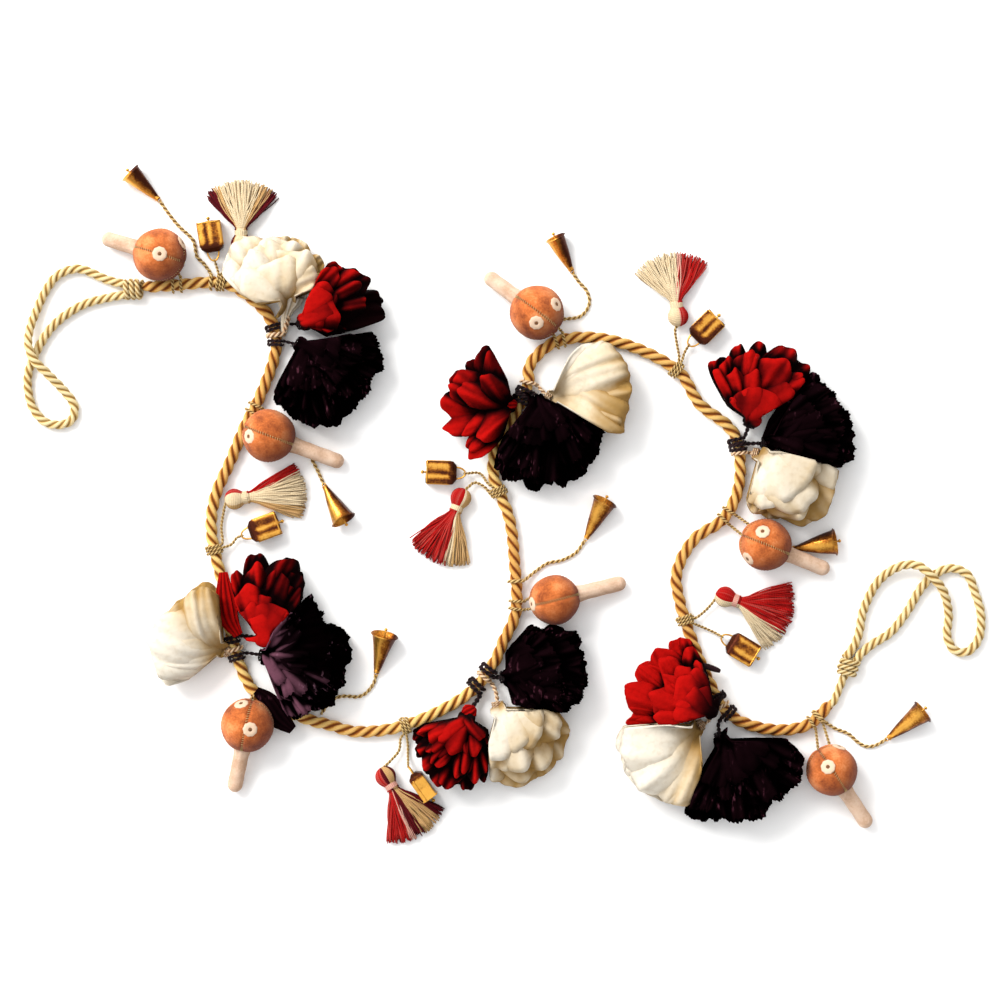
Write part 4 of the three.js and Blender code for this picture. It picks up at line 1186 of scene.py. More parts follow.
    def tie(self, style: ClothStyle) -> None:
        """Builds the gathered neck and the cord that ties it to the rope.

        Args:
            style: Its colour's way of folding, which names its slot.
        """
        neck = np.array([*self.neck, self.neck_height])
        points = [neck, *(np.array(spot) for spot in self.way)]
        turns = 1 if self.hue is Hue.CREAM else 2
        points += self.rope.hitch(*self.tied_at, self.tie_radius, points[-1], turns)
        weft = Weft()
        weft.twist(smooth_route(points, 0.0011), self.tie_radius, 0.008, 2, 6, taper=0.002)
        towards = unit(points[1] - neck)
        side, top = square_to(towards)
        for turn in range(3):
            middle = neck + towards * (0.0012 + 0.0017 * turn)
            wind = circle(middle, side * self.binding_out, top * self.binding_out, 18)
            weft.twist(wind, self.binding, THREAD_LAY, 2, 4)
        finish_piece(weft.piece(f"{self.name}_tie", self.tie_look), style.slot)

    def end_cut(self, rim: Rim, u: np.ndarray, chance: random.Random) -> np.ndarray:
        """How far a strip reaches across its cut end.

        Args:
            rim: How it is cut.
            u: Across the strip, from -1 to 1.
            chance: Source of its small differences.

        Returns:
            The share of its full length.
        """
        offsets = (chance.uniform(0, 6), chance.uniform(0, 6), chance.random())
        if rim is Rim.ROUND:
            return 1 - 0.2 * np.abs(u) ** 2.6 + 0.03 * np.sin(5 * u + offsets[0])
        if rim is Rim.POINTED:
            return 1 - 0.26 * np.abs(u) ** 2.1 + 0.03 * np.sin(6 * u + offsets[1])
        teeth = np.abs((u * 4.5 + offsets[2]) % 1 - 0.5) * 2
        return 1 - 0.14 * np.abs(u) ** 2.5 + 0.055 * (teeth - 0.7)

    def paint_cloth_shade(self, weft: Weft, hollow: float, length: float) -> None:
        """Paints shade into the cloth's hollows and on its side away from the light, and light on its crests
        and its other side.

        Args:
            weft: The cloth.
            hollow: The difference in height that gives a hollow its full painted shade.
            length: The pompom's reach.
        """
        way = heading(math.radians(self.shade[0]))[0][:2]
        middle = float(np.mean((np.concatenate(weft.points)[:, :2] - self.neck) @ way)) / length
        for points, tone, level in zip(weft.points, weft.tones, hollows(weft.points, hollow)):
            side = (points[:, :2] - self.neck) @ way / length - middle
            # painted shade in the hollows and on the shaded side, painted light on the crests and on the
            # other side
            tone[:, 0] = np.clip(0.35 * tone[:, 0] + 0.65 * level - self.shade[1] * side, 0, 1)


@dataclass
class NeckTrim:
    """What shows at a pompom's neck beside its tie: a bead of cloth, a stalk or a stub of cord."""

    name: str
    slot: str
    look: bpy.types.Material
    route: Route
    radii: tuple
    folds: int = 0
    fold_depth: float = 0.0
    flat: float = 1.0  # height of its section as a share of its width
    cloth: float = 0.02  # length of cloth that one turn round it takes

    def build(self) -> None:
        """Builds it as a tube of changing size, with folds along it."""
        line = smooth_route(self.route, 0.0007)
        run = np.linspace(0, 1, len(line))
        size = np.interp(run, np.linspace(0, 1, len(self.radii)), self.radii)
        _, side, top = frames(line)
        sides = max(24, 6 * self.folds)
        turn = TURN * np.arange(sides)[None, :] / sides
        crest = 0.5 + 0.5 * np.cos(self.folds * turn) if self.folds else np.ones((1, sides))
        net = swept(line, side, top * self.flat, size[:, None] * (1 - self.fold_depth * (1 - crest)), -turn)
        net[..., 2] = np.maximum(net[..., 2], LIFT)
        weft = Weft()
        # painted light on the folds' crests, painted shade between them
        tone = toned(net.shape[:2], 0.5 + 0.4 * crest, 1.0, 0.5)
        weft.grid(net, tone, np.arange(sides + 1) / sides * self.cloth, run * self.cloth,
                  closed=True, ends=True)
        finish_piece(weft.piece(self.name, self.look), self.slot)


@dataclass
class Toadstool:
    """A stuffed ball of four panels with ring dots, a stuffed stem and strings to the rope."""

    number: int
    middle: tuple[float, float]
    radius: float
    stem_end: tuple[float, float]
    tied_at: tuple[float, float]
    rings: tuple[tuple[float, float], ...]
    cap_look: bpy.types.Material
    stem_look: bpy.types.Material
    ring_look: bpy.types.Material
    string_look: bpy.types.Material
    rope: RopeLine
    rest: float = 0.88
    stem_radius: float = 0.006
    ring_radius: float = 0.0036
    braid_half: float = 0.0024  # half width of a ring dot's braid
    seam_width: float = 0.0013
    seam_depth: float = 0.0011
    pucker_width: float = 0.0035
    string_radius: float = 0.0014

    def axis(self) -> tuple[np.ndarray, np.ndarray, float]:
        """The ball's middle, the way its stem points, and how far the stem's end is."""
        centre = np.array([*self.middle, self.radius * self.rest])
        along = np.array([*self.stem_end, self.stem_radius + 0.0004]) - centre
        return centre, unit(along), float(np.linalg.norm(along))

    def cap(self) -> None:
        """Builds the ball: panels swell between four seams that meet at the stem."""
        centre, _, _ = self.axis()
        columns, rows, panel = 96, 49, TURN / 4
        a = TURN * np.arange(columns)[None, :] / columns
        b = math.pi * np.linspace(0.012, 0.988, rows)[:, None]
        off_seam = np.abs((a / panel + 0.5) % 1 - 0.5) * panel * np.sin(b) * self.radius
        groove = np.exp(-(off_seam / self.seam_width) ** 2)
        pucker = np.exp(-(off_seam / self.pucker_width) ** 2) * np.sin(b * 46 + 2 * a) * 0.00028
        lumps = 0.00035 * np.sin(3 * a + self.number) * np.sin(4 * b + self.number)
        size = self.radius - self.seam_depth * groove + pucker + lumps
        net = centre + size[..., None] * self.way(a, b)
        net[..., 2] = np.maximum(net[..., 2], BED)
        # painted light and shade: lighter on the side towards the light, painted shade on the far side and in
        # the seams
        lit = 0.5 + 0.5 * ((net - centre) / self.radius) @ PAINTED_LIGHT_WAY
        tone = np.clip(toned(size.shape, 1 - 0.75 * groove, lit, 0.5), 0, 1)
        weft = Weft()
        weft.grid(net[:, ::-1], tone[:, ::-1], np.arange(columns + 1) / columns * 0.13,
                  np.linspace(0, 0.066, rows), closed=True, ends=True)
        node = f"cap_{self.number}"
        ball = finish_piece(weft.piece(f"{node}_ball", self.cap_look), "terracotta_cloth", node)

    def stitches(self) -> None:
        """Sews the seams with small slanting stitches."""
        centre, _, _ = self.axis()
        pair = np.array([-1, 1])
        weft = Weft()
        for seam in range(4):
            for b in math.pi * np.linspace(0.1, 0.9, 26):
                a = seam * TURN / 4 + pair * 0.0011 / (self.radius * math.sin(b))
                one, other = centre + self.way(a, b + pair * 0.02) * (self.radius - 0.0006)
                if min(one[2], other[2]) < 0.003:
                    continue
                middle = (one + other) / 2
                middle = middle + unit(middle - centre) * 0.0003
                weft.tube(np.array([one, middle, other]), 0.00022, 4)
        finish_piece(weft.piece(f"cap_{self.number}_stitches", self.string_look), "terracotta_cloth")

    def stem(self) -> None:
        """Builds the stem: a stuffed tube with a sewn round end and creases near the ball."""
        centre, along, end = self.axis()
        start = self.radius * 0.93
        straight = end - self.stem_radius
        rounding = straight + self.stem_radius * np.sin(np.linspace(0.08, 1.5, 12))
        run = np.concatenate([np.linspace(start, straight, 30), rounding])
        past = np.maximum(0, run - straight) / self.stem_radius
        size = self.stem_radius * np.sqrt(np.maximum(1 - past**2, 0.0016))
        size *= 1 + 0.12 * np.exp(-(run - start) / 0.004)
        columns = 32
        a = TURN * np.arange(columns)[None, :] / columns
        crease = 1 + 0.05 * np.exp(-((run - start) / 0.009) ** 2)[:, None] * np.sin(9 * a + self.number)
        crease = crease + 0.018 * np.sin(run[:, None] * 420 + 2 * np.sin(a))
        line = centre + along * run[:, None]
        side, top = (np.broadcast_to(way, line.shape) for way in square_to(along))
        net = swept(line, side, top, size[:, None] * crease, -a)
        net[..., 2] = np.maximum(net[..., 2], BED)
        # painted light and shade: lighter towards the light, painted shade on the far side and in the creases
        # near the ball
        lit = 0.62 + 0.5 * ((net - line[:, None, :]) / self.stem_radius) @ PAINTED_LIGHT_WAY
        tone = np.clip(toned(crease.shape, 0.75 + 5 * (crease - 1), lit, 0.5), 0, 1)
        weft = Weft()
        weft.grid(net, tone, np.arange(columns + 1) / columns * 0.038, run, closed=True, ends=True)
        node = f"stem_{self.number}"
        tube = finish_piece(weft.piece(f"{node}_tube", self.stem_look), "pale_cloth", node)

    def dots(self) -> None:
        """Sews the ring dots on the ball, where they face up."""
        centre, _, _ = self.axis()
        steps = 40
        a, b = np.meshgrid(TURN * np.arange(steps) / steps, np.linspace(0, TURN, 17))
        size = np.maximum(self.ring_radius - self.braid_half * np.cos(b) + 0.00022 * np.sin(9 * a), 0.0008)
        lift = 0.0001 + 0.00055 * np.sin(b) + 0.00012 * np.sin(20 * a + 3 * b)
        # painted light on the braid's top, painted shade underneath
        tone = toned(b.shape, np.clip(0.5 + 0.5 * np.sin(b), 0, 1), b / 7, 0.5)
        weft = Weft()
        for spot in self.rings:
            off = np.array(spot) - centre[:2]
            far = min(float(np.hypot(*off)), 0.985 * self.radius)
            off = off / max(np.hypot(*off), 1e-6) * far
            normal = np.array([*off, math.sqrt(self.radius**2 - far**2)]) / self.radius
            side = unit(np.cross(normal, (0.3, 1, 0)))
            ring = np.cos(a)[..., None] * side + np.sin(a)[..., None] * np.cross(normal, side)
            net = normal * self.radius + size[..., None] * ring
            net = centre + net / np.linalg.norm(net, axis=2)[..., None] * (self.radius + lift)[..., None]
            weft.grid(net[:, ::-1], tone[:, ::-1], np.arange(steps + 1) / steps * 0.02, b[:, 0] * 0.002,
                      closed=True)
            # a dark disc in the ring's hole: painted shade
            hole_shade = [centre + normal * (self.radius + depth) for depth in (-0.00028, 0.00032)]
            weft.tube(np.array(hole_shade), 0.0017, 12, (0.0, 0.5, 0.5))
        finish_piece(weft.piece(f"cap_{self.number}_rings", self.ring_look), "pale_cloth")

    def strings(self) -> None:
        """Ties the ball to the rope with a doubled string."""
        centre, _, _ = self.axis()
        towards = unit(np.array([*self.tied_at, ROPE_RADIUS]) - centre)
        side, _ = square_to(towards)
        weft = Weft()
        for sign in (-1, 1):
            start = centre + towards * (self.radius - 0.0015) + side * sign * 0.005
            spread = np.array(self.tied_at) + sign * side[:2] * 0.0035
            points = [start, *self.rope.hitch(*spread, self.string_radius, start, 1)]
            weft.twist(smooth_route(points, 0.001), self.string_radius, THREAD_LAY, 2, 5, taper=0.001)
        finish_piece(weft.piece(f"cap_{self.number}_strings", self.string_look), "bell_cord")

    def build(self) -> None:
        """Builds all of the toadstool."""
        self.cap()
        self.stitches()
        self.stem()
        self.dots()
        self.strings()

    def way(self, a: np.ndarray, b: np.ndarray) -> np.ndarray:
        """Directions from the ball's middle, turned by a round the stem's line and by b away from it."""
        _, along, _ = self.axis()
        side, top = square_to(along)
        a, b = a[..., None], b[..., None]
        return np.cos(b) * along + np.sin(b) * (np.cos(a) * side + np.sin(a) * top)


def fresh(add: object, **settings: object) -> bpy.types.Object:
    """Adds a primitive with nothing else selected.

    Args:
        add: The operator that adds it.
        **settings: The operator's settings.

    Returns:
        The new object.
    """
    bpy.ops.object.select_all(action="DESELECT")
    add(**settings)
    return bpy.context.view_layer.objects.active


def pick(piece: bpy.types.Object, kind: str, wanted: object) -> None:
    """Selects faces or vertices of a piece by their place or normal, and enters edit mode.

    Args:
        piece: The piece, in object mode.
        kind: FACE or VERT.
        wanted: Says of each face or vertex whether it is picked.
    """
    mesh = piece.data
    for group in (mesh.vertices, mesh.edges, mesh.polygons):
        group.foreach_set("select", np.zeros(len(group), dtype=bool))
    for item in (mesh.polygons if kind == "FACE" else mesh.vertices):
        item.select = bool(wanted(item))
    bpy.ops.object.mode_set(mode="EDIT")
    bpy.ops.mesh.select_mode(type=kind)


def apply_all(piece: bpy.types.Object) -> None:
    """Applies a piece's modifiers."""
    bpy.ops.object.select_all(action="DESELECT")
    bpy.context.view_layer.objects.active = piece
    piece.select_set(True)
    for modifier in list(piece.modifiers):
        bpy.ops.object.modifier_apply(modifier=modifier.name)


def add_tone(piece: bpy.types.Object, rule: Callable[[Vector], float] = lambda spot: 0.8) -> None:
    """Gives a hand-modelled piece its tone.

    Args:
        piece: The piece.
        rule: The tone's first number at a place.
    """
    stored = piece.data.attributes.new("tone", "FLOAT_VECTOR", "POINT")
    for vertex, value in zip(piece.data.vertices, stored.data):
        value.vector = (min(max(rule(vertex.co), 0.0), 1.0), 0.5, 0.5)


def rest(piece: bpy.types.Object, height: float = 0.0003) -> None:
    """Lifts or lowers a piece until its lowest point is just over the surface."""
    low = min(vertex.co.z for vertex in piece.data.vertices)
    piece.data.transform(Matrix.Translation((0, 0, height - low)))


def join(main: bpy.types.Object, *others: bpy.types.Object) -> bpy.types.Object:
    """Joins pieces into the first one."""
    bpy.ops.object.select_all(action="DESELECT")
    for piece in (main, *others):
        piece.select_set(True)
    bpy.context.view_layer.objects.active = main
    bpy.ops.object.join()
    return main


def leave_edit_mode() -> None:
    """Goes back to object mode."""
    bpy.ops.object.mode_set(mode="OBJECT")


def cut_up() -> None:
    """Cuts every edge of the piece in edit mode into six, and leaves edit mode."""
    bpy.ops.mesh.select_all(action="SELECT")
    bpy.ops.mesh.subdivide(number_cuts=5)
    leave_edit_mode()


def add_wall(shell: bpy.types.Object, thickness: float) -> None:
    """Gives sheet its thickness, on the inside, and applies its modifiers."""
    wall = shell.modifiers.new("wall", "SOLIDIFY")
    wall.thickness, wall.offset = thickness, -1
    apply_all(shell)


def add_bead(weft: Weft, middle: Sequence[float], half: Sequence[float], radius: float) -> None:
    """Adds a clapper's bead.

    Args:
        weft: What it is added to.
        middle: Its middle.
        half: From its middle to its end.
        radius: Its radius.
    """
    along = np.linspace(-1, 1, 9)
    weft.tube(middle + np.outer(along, half), radius * np.sqrt(np.maximum(1 - along**2, 0.02)), 10)


def dress(shell: bpy.types.Object, name: str, look: bpy.types.Material) -> bpy.types.Object:
    """Gives a bell's new sheet its name and look, smooth but for its folds."""
    shell.name = name
    shell.data.materials.append(look)
    bpy.ops.object.shade_smooth_by_angle(angle=math.radians(35))
    return shell


@dataclass
class ConeBell:
    """A cone rolled from brass sheet, with an overlapped seam, a rolled rim and a wire clapper."""

    number: int
    mouth_at: tuple[float, float]
    tip_towards: tuple[float, float]
    length: float
    mouth: float
    bright: float  # where its painted highlight band lies, from its right edge at -1 to its left edge at 1
    look: bpy.types.Material
    tip: float = 0.0016
    wall: float = 0.0005
    clapper_out: float = 0.0035
    clapper_rest: float = 0.0034
    facets: int = 12  # of its node, whose flat side it rests on
    wire: float = 0.0004
    seam_turn: float = 0.5  # how much of a turn the proud edge takes, in radians

    def lean(self) -> float:
        """How far the axis tips down towards the small end."""
        return math.atan((self.mouth - self.tip) * math.cos(math.pi / self.facets) / self.length)

    def shell(self) -> bpy.types.Object:
        """Rolls the sheet: an open cone along +Z whose seam edge stands proud."""
        shell = fresh(bpy.ops.mesh.primitive_cone_add, vertices=40, radius1=self.mouth, radius2=self.tip,
                      depth=self.length, end_fill_type="NOTHING", location=(0, 0, self.length / 2))
        bpy.ops.object.transform_apply(location=True)
        pick(shell, "VERT", lambda v: v.co.z < self.length)
        cut_up()
        pick(shell, "VERT", lambda v: v.co.z < 1e-5)
        for step, flare in ((-0.0006, 1.05), (0.0005, 1.04)):
            bpy.ops.mesh.extrude_region_move(TRANSFORM_OT_translate={"value": (0, 0, step)})
            bpy.ops.transform.resize(value=(flare, flare, 1), center_override=(0, 0, 0))
        leave_edit_mode()
        seam = random.Random(self.number).uniform(0.5, 2.4)
        for vertex in shell.data.vertices:
            turn = (math.atan2(vertex.co.y, vertex.co.x) - seam) % TURN
            proud = 0.00075 * max(0.0, 1 - turn / self.seam_turn)
            dent = 0.00035 * math.sin(2 * turn + self.number) * math.sin(vertex.co.z * 160 + self.number)
            swell = 1 + (proud + dent) / math.hypot(vertex.co.x, vertex.co.y)
            vertex.co.x *= swell
            vertex.co.y *= swell
        add_wall(shell, self.wall)
        add_tone(shell, self.gold)
        return shell

    def fittings(self) -> bpy.types.Object:
        """Makes the clapper and the wire twisted round the small end."""
        weft = Weft()
        low = self.clapper_rest - self.mouth
        rod = [(0, 0, self.length - 0.001), (0, low * 0.5, self.length * 0.5), (0, low, -self.clapper_out)]
        weft.tube(smooth_route(rod, 0.002), 0.0007, 8)
        add_bead(weft, (0, low, -self.clapper_out), (0, 0, 0.0012), 0.0014)
        neck = 1.05 * (self.tip + 0.0003)
        coil = circle(UP * (self.length - 0.0032), X_WAY * neck, Y_WAY * neck, 60, 0.0, 3 * TURN)
        coil += UP * np.linspace(0, 3 * 0.0009, 61)[:, None]
        weft.tube(coil, 0.00045, 6)
        eye = circle(UP * (self.length + 0.0009), X_WAY * 0.0014, UP * 0.0014, 20)
        weft.tube(eye, self.wire, 6)
        return weft.piece(f"cone_{self.number}_fittings", self.look)

    def build(self) -> None:
        """Builds the bell and lays it on its side."""
        bell = join(dress(self.shell(), f"cone_{self.number}_sheet", self.look), self.fittings())
        height = self.mouth * math.cos(math.pi / self.facets) * math.cos(self.lean()) + 0.0006
        upright = Matrix.Rotation(-math.pi / 2, 4, "X")
        lean = Matrix.Rotation(-self.lean(), 4, "X")
        flat = Matrix.Rotation(self.turn() - math.pi / 2, 4, "Z")
        place = Matrix.Translation((*self.mouth_at, height))
        flip = Matrix.Rotation(math.pi, 4, "Z")
        bell.data.transform(place @ flat @ lean @ upright @ flip)
        rest(bell)
        finish_piece(bell, "brass", f"cone_bell_{self.number}")

    def turn(self) -> float:
        """The way its small end points, in radians."""
        across, up = np.subtract(self.tip_towards, self.mouth_at)
        return math.atan2(up, across)

    def gold(self, spot: Vector) -> float:
        """How golden the sheet is at a place of the upright bell: a painted highlight band along the cone."""
        across = spot.x / (self.mouth + (self.tip - self.mouth) * spot.z / self.length)
        return 1.05 - 0.95 * abs(across - self.bright)


@dataclass
class SquareBell:
    """A box folded and soldered from brass sheet, with a pinched crown, a wire bail and a clapper."""

    number: int
    mouth_at: tuple[float, float]
    turn: float
    on_edge: bool
    look: bpy.types.Material
    width: float = 0.0185
    thick: float = 0.012
    length: float = 0.0205
    crown: float = 0.004
    wall: float = 0.0007
    bail_half: float = 0.0046
    bail_depth: float = 0.007
    fold: float = 0.0012  # how far the box runs on before its crown is pinched
    hang: float = 0.0034  # how far the clapper hangs off the lowest face

    def shell(self) -> bpy.types.Object:
        """Folds the box along +Y with its mouth at y = 0."""
        shell = fresh(bpy.ops.mesh.primitive_cube_add, size=1, location=(0, -self.length / 2, 0))
        shell.scale = (self.width, self.length, self.thick)
        bpy.ops.object.transform_apply(location=True, scale=True)
        pick(shell, "FACE", lambda f: f.normal.y > 0.9)
        bpy.ops.mesh.delete(type="FACE")
        leave_edit_mode()
        pick(shell, "FACE", lambda f: f.normal.y < -0.9)
        for step, across, up in ((-self.fold, 0.97, 0.93), (self.fold - self.crown, 0.62, 0.42)):
            bpy.ops.mesh.extrude_region_move(TRANSFORM_OT_translate={"value": (0, step, 0)})
            bpy.ops.transform.resize(value=(across, 1, up), center_override=(0, -self.length, 0))
        cut_up()
        chance = random.Random(self.number + 40)
        lean, belly = chance.uniform(-0.03, 0.03), chance.uniform(0.02, 0.05)
        for vertex in shell.data.vertices:
            along = -vertex.co.y / self.length
            vertex.co.x *= 1 + 0.03 * math.sin(3 * along + self.number) + lean * along
            vertex.co.z *= 1 + belly * math.sin(math.pi * min(along, 1)) * math.cos(vertex.co.x * 150)
            vertex.co.y += 0.0003 * math.sin(vertex.co.x * 420 + self.number) * (along < 0.2)
        edge = shell.modifiers.new("edge", "BEVEL")
        edge.width, edge.segments = 0.0008, 3
        edge.limit_method, edge.angle_limit = "ANGLE", math.radians(50)
        add_wall(shell, self.wall)
        add_tone(shell, self.gold)
        return shell

    def fittings(self) -> bpy.types.Object:
        """Makes the folded lips, the bail and the clapper."""
        weft = Weft()
        x, z = (self.width / 2 - self.hang, 0) if self.on_edge else (0, self.hang - self.thick / 2)
        rod = [(x * 0.2, 0.001 - self.length, z * 0.2), (x, -self.length * 0.4, z), (x, 0.0035, z)]
        weft.tube(smooth_route(rod, 0.002), 0.0008, 8)
        add_bead(weft, (x, 0.003, z), (0, 0.0014, 0), 0.0015)
        foot = -Y_WAY * (self.length + self.crown - 0.0008)
        depth = -Y_WAY * (self.bail_depth + 0.0008)
        weft.tube(circle(foot, X_WAY * self.bail_half, depth, 24, math.pi, 0.0), 0.0007, 8)
        for sign in (-1, 1):
            lip = [(x * self.width / 2, -0.0009, sign * (self.thick / 2 + 0.0001)) for x in (-0.97, 0, 0.97)]
            weft.tube(smooth_route(lip, 0.002), 0.0006, 8)
            seam = [(sign * self.width * 0.5, -0.0006 - s * (self.length - 0.0012), self.thick * 0.28)
                    for s in (0, 0.5, 1)]
            weft.tube(smooth_route(seam, 0.002), 0.0005, 6)
        return weft.piece(f"square_{self.number}_fittings", self.look)

    def build(self) -> None:
        """Builds the bell and lays it down."""
        bell = join(dress(self.shell(), f"square_{self.number}_sheet", self.look), self.fittings())
        flat = Matrix.Rotation(math.radians(self.turn - 90), 4, "Z")
        lean = Matrix.Rotation(math.pi / 2 if self.on_edge else 0, 4, "Y")
        place = Matrix.Translation((*self.mouth_at, self.middle_height() + 0.0004))
        bell.data.transform(place @ flat @ lean)
        rest(bell)
        finish_piece(bell, "brass", f"square_bell_{self.number}")

    def eye(self) -> np.ndarray:
        """The far end of the bail."""
        back = self.length + self.crown + self.bail_depth
        return np.array([*self.mouth_at, self.middle_height()]) - heading(math.radians(self.turn))[0] * back

    def middle_height(self) -> float:
        """How high its middle line lies over the surface."""
        return (self.width if self.on_edge else self.thick) / 2

    def gold(self, spot: Vector) -> float:
        """How golden the sheet is at a place: streaks along the faces, and a dark crown."""
        return 0.0 if -spot.y > self.length else 0.5 + 0.65 * math.sin(spot.x * 800 + self.number)


@dataclass
class Tassel:
    """A bunch of threads doubled over a head, bound at the neck and cut in a fan."""

    number: int
    head: tuple[float, float]
    turn: float
    spread: float
    length: float
    tied_at: tuple[float, float]
    head_way: Route
    bell_way: Route
    bands: tuple[tuple[float, float], ...]  # across the fan: where a band ends, and its kind of thread
    bell: SquareBell
    look: bpy.types.Material
    cord_look: bpy.types.Material
    rope: RopeLine
    threads: int = 300
    head_radius: float = 0.0078
    head_threads: int = 46
    thread: float = 0.0005
    low: float = 0.0008  # lowest that a thread of the head lies
    eye_ring: float = 0.0019

    def kind(self, share: float, chance: random.Random) -> float:
        """Which thread lies at a share of the fan, from -1 to 1."""
        found = next(kind for limit, kind in self.bands if share <= limit)
        return min(1.0, max(0.0, found + chance.uniform(-0.04, 0.04)))

    def fan(self, weft: Weft, chance: random.Random) -> None:
        """Adds the cut threads, in layers from the lowest to the uppermost.

        Args:
            weft: What they are added to.
            chance: Where their differences come from.
        """
        turn = math.radians(self.turn)
        out, side = (way[:2] for way in heading(turn))
        start = np.array(self.head) + out * 0.0095
        for k in range(self.threads):
            layer = (k % 5) / 4
            share = 2 * ((k * GOLDEN) % 1) - 1
            share = max(-1.0, min(1.0, share + chance.uniform(-0.05, 0.05)))
            fan = turn + math.radians(self.spread) * (share + chance.uniform(-0.07, 0.07))
            long = self.length * chance.uniform(0.9, 1.06) * (1 - 0.06 * share**2)
            way, across = (part[:2] for part in heading(fan))
            root = start + side * 0.0036 * share
            high = 0.0035 + 0.0065 * layer * math.sqrt(max(0.1, 1 - 0.6 * share**2))
            end_high = 0.0012 + 0.0052 * layer * (1 - 0.5 * abs(share)) + chance.uniform(0, 0.0015)
            bow = chance.uniform(-0.0014, 0.0014)
            line = []
            for s in (0, 0.15, 0.35, 0.6, 0.85, 1):
                ease = min(1.0, s * 2.4)
                flat = root + (out * (1 - ease) + way * ease) * long * s
                flat = flat + across * bow * math.sin(math.pi * s * 1.5)
                puff = 0.0022 * math.sin(math.pi * min(1, s * 1.3)) * layer
                line.append((*flat, max(0.0009, high + (end_high - high) * s**0.8 + puff)))
            # painted shade on the lower layers of threads
            ridge = 0.25 + 0.75 * layer * (0.75 + 0.25 * chance.random())
            tone = (ridge, 0.5, self.kind(share, chance))
            weft.tube(smooth_route(line, self.length / 10), self.thread, 5, tone)

    def top(self, weft: Weft, chance: random.Random) -> None:
        """Adds the head, whose threads run over a round core, and the neck's binding.

        Args:
            weft: What they are added to.
            chance: Where their differences come from.
        """
        out, side = heading(math.radians(self.turn))
        middle = np.array([*self.head, self.head_radius * 0.9])
        for k in range(self.head_threads):
            a = TURN * k / self.head_threads
            round_way = side * math.cos(a) + UP * math.sin(a)
            line = np.array([middle + (round_way * wide + out * along) * self.head_radius * (1, 1, 0.86)
                             for wide, along in HEAD_PROFILE])
            line[:, 2] = np.maximum(self.low, line[:, 2])
            # painted shade on the underside of the head
            ridge = 0.45 + 0.55 * max(0, math.sin(a))
            weft.tube(smooth_route(line, 0.0016), 0.00064, 5, (ridge, 0.1, self.kind(math.cos(a), chance)))
        for wind in range(5):
            at = middle + out * self.head_radius * (0.86 + 0.1 * wind)
            ring = circle(at, side * self.head_radius * 0.6, UP * self.head_radius * 0.6, 24)
            ring[:, 2] = np.maximum(self.low, ring[:, 2])
            weft.tube(ring, 0.0006, 5, (0.9, 0.1, self.bind))

    @property
    def bind(self) -> float:
        """Kind of the thread that binds the neck."""
        return 0.0 if self.number in (1, 2, 4, 5) else 0.5

    def cords(self) -> None:
        """Ties the head and the square bell beside it to the rope."""
        out, _ = heading(math.radians(self.turn))
        start = np.array([*self.head, self.head_radius * 0.9]) - out * (self.head_radius - 0.001)
        points = [start, *(np.array(p) for p in self.head_way)]
        points += self.rope.hitch(*self.tied_at, CORD_RADIUS * 0.8, points[-1], 3)
        weft = Weft()
        weft.twist(smooth_route(points, 0.0011), CORD_RADIUS * 0.85, THREAD_LAY, 2, 6, taper=0.001)
        eye = self.bell.eye()
        points = [eye, *(np.array(p) for p in self.bell_way)]
        point, _ = self.rope.nearest(*self.tied_at)
        gap = unit((points[-1] - point) * (1, 1, 0))
        points.append(point + gap * (ROPE_RADIUS * 0.75) + UP * ROPE_RADIUS * 0.85)
        weft.twist(smooth_route(points, 0.0011), CORD_RADIUS * 0.8, THREAD_LAY, 2, 6, taper=0.001)
        towards = unit(points[1] - eye)
        ring = circle(eye + towards * 0.0009, -towards * self.eye_ring, UP * self.eye_ring, 20)
        weft.twist(ring, CORD_RADIUS * 0.6, 0.005, 2, 5)
        finish_piece(weft.piece(f"tassel_{self.number}_cords", self.cord_look), "bell_cord")

    def build(self) -> None:
        """Builds all of the tassel."""
        chance = random.Random(self.number + 90)
        weft = Weft()
        self.fan(weft, chance)
        self.top(weft, chance)
        finish_piece(weft.piece(f"tassel_{self.number}_threads", self.look), "tassel_yarn",
                     f"tassel_{self.number}")
        self.cords()


@dataclass
class BellCord:
    """The thin twisted cord from the rope to a cone bell."""

    bell: ConeBell
    look: bpy.types.Material
    rope: RopeLine

    def build(self) -> None:
        """Builds the cord."""
        bell = self.bell
        out, _ = heading(bell.turn())
        tip = np.array([*bell.mouth_at, CORD_RADIUS + 0.0004])
        tip += out * (bell.length * math.cos(bell.lean()) + 0.0008)
        points = [tip, *((x, y, CORD_RADIUS + LIFT) for x, y in BELL_CORDS[bell.number])]
        if bell.number in OVER_ROPE_CORDS:
            x, y, _ = points.pop()
            points += self.rope.hitch(x, y, CORD_RADIUS, np.array(points[-1]), 1)
        line = smooth_route(points[::-1], 0.0011)
        weft = Weft()
        weft.twist(line, CORD_RADIUS, 0.0085, 2, 7, taper=0.001)
        node = f"bell_cord_{bell.number}"
        cord = finish_piece(weft.piece(f"{node}_laid", self.look), "bell_cord", node)


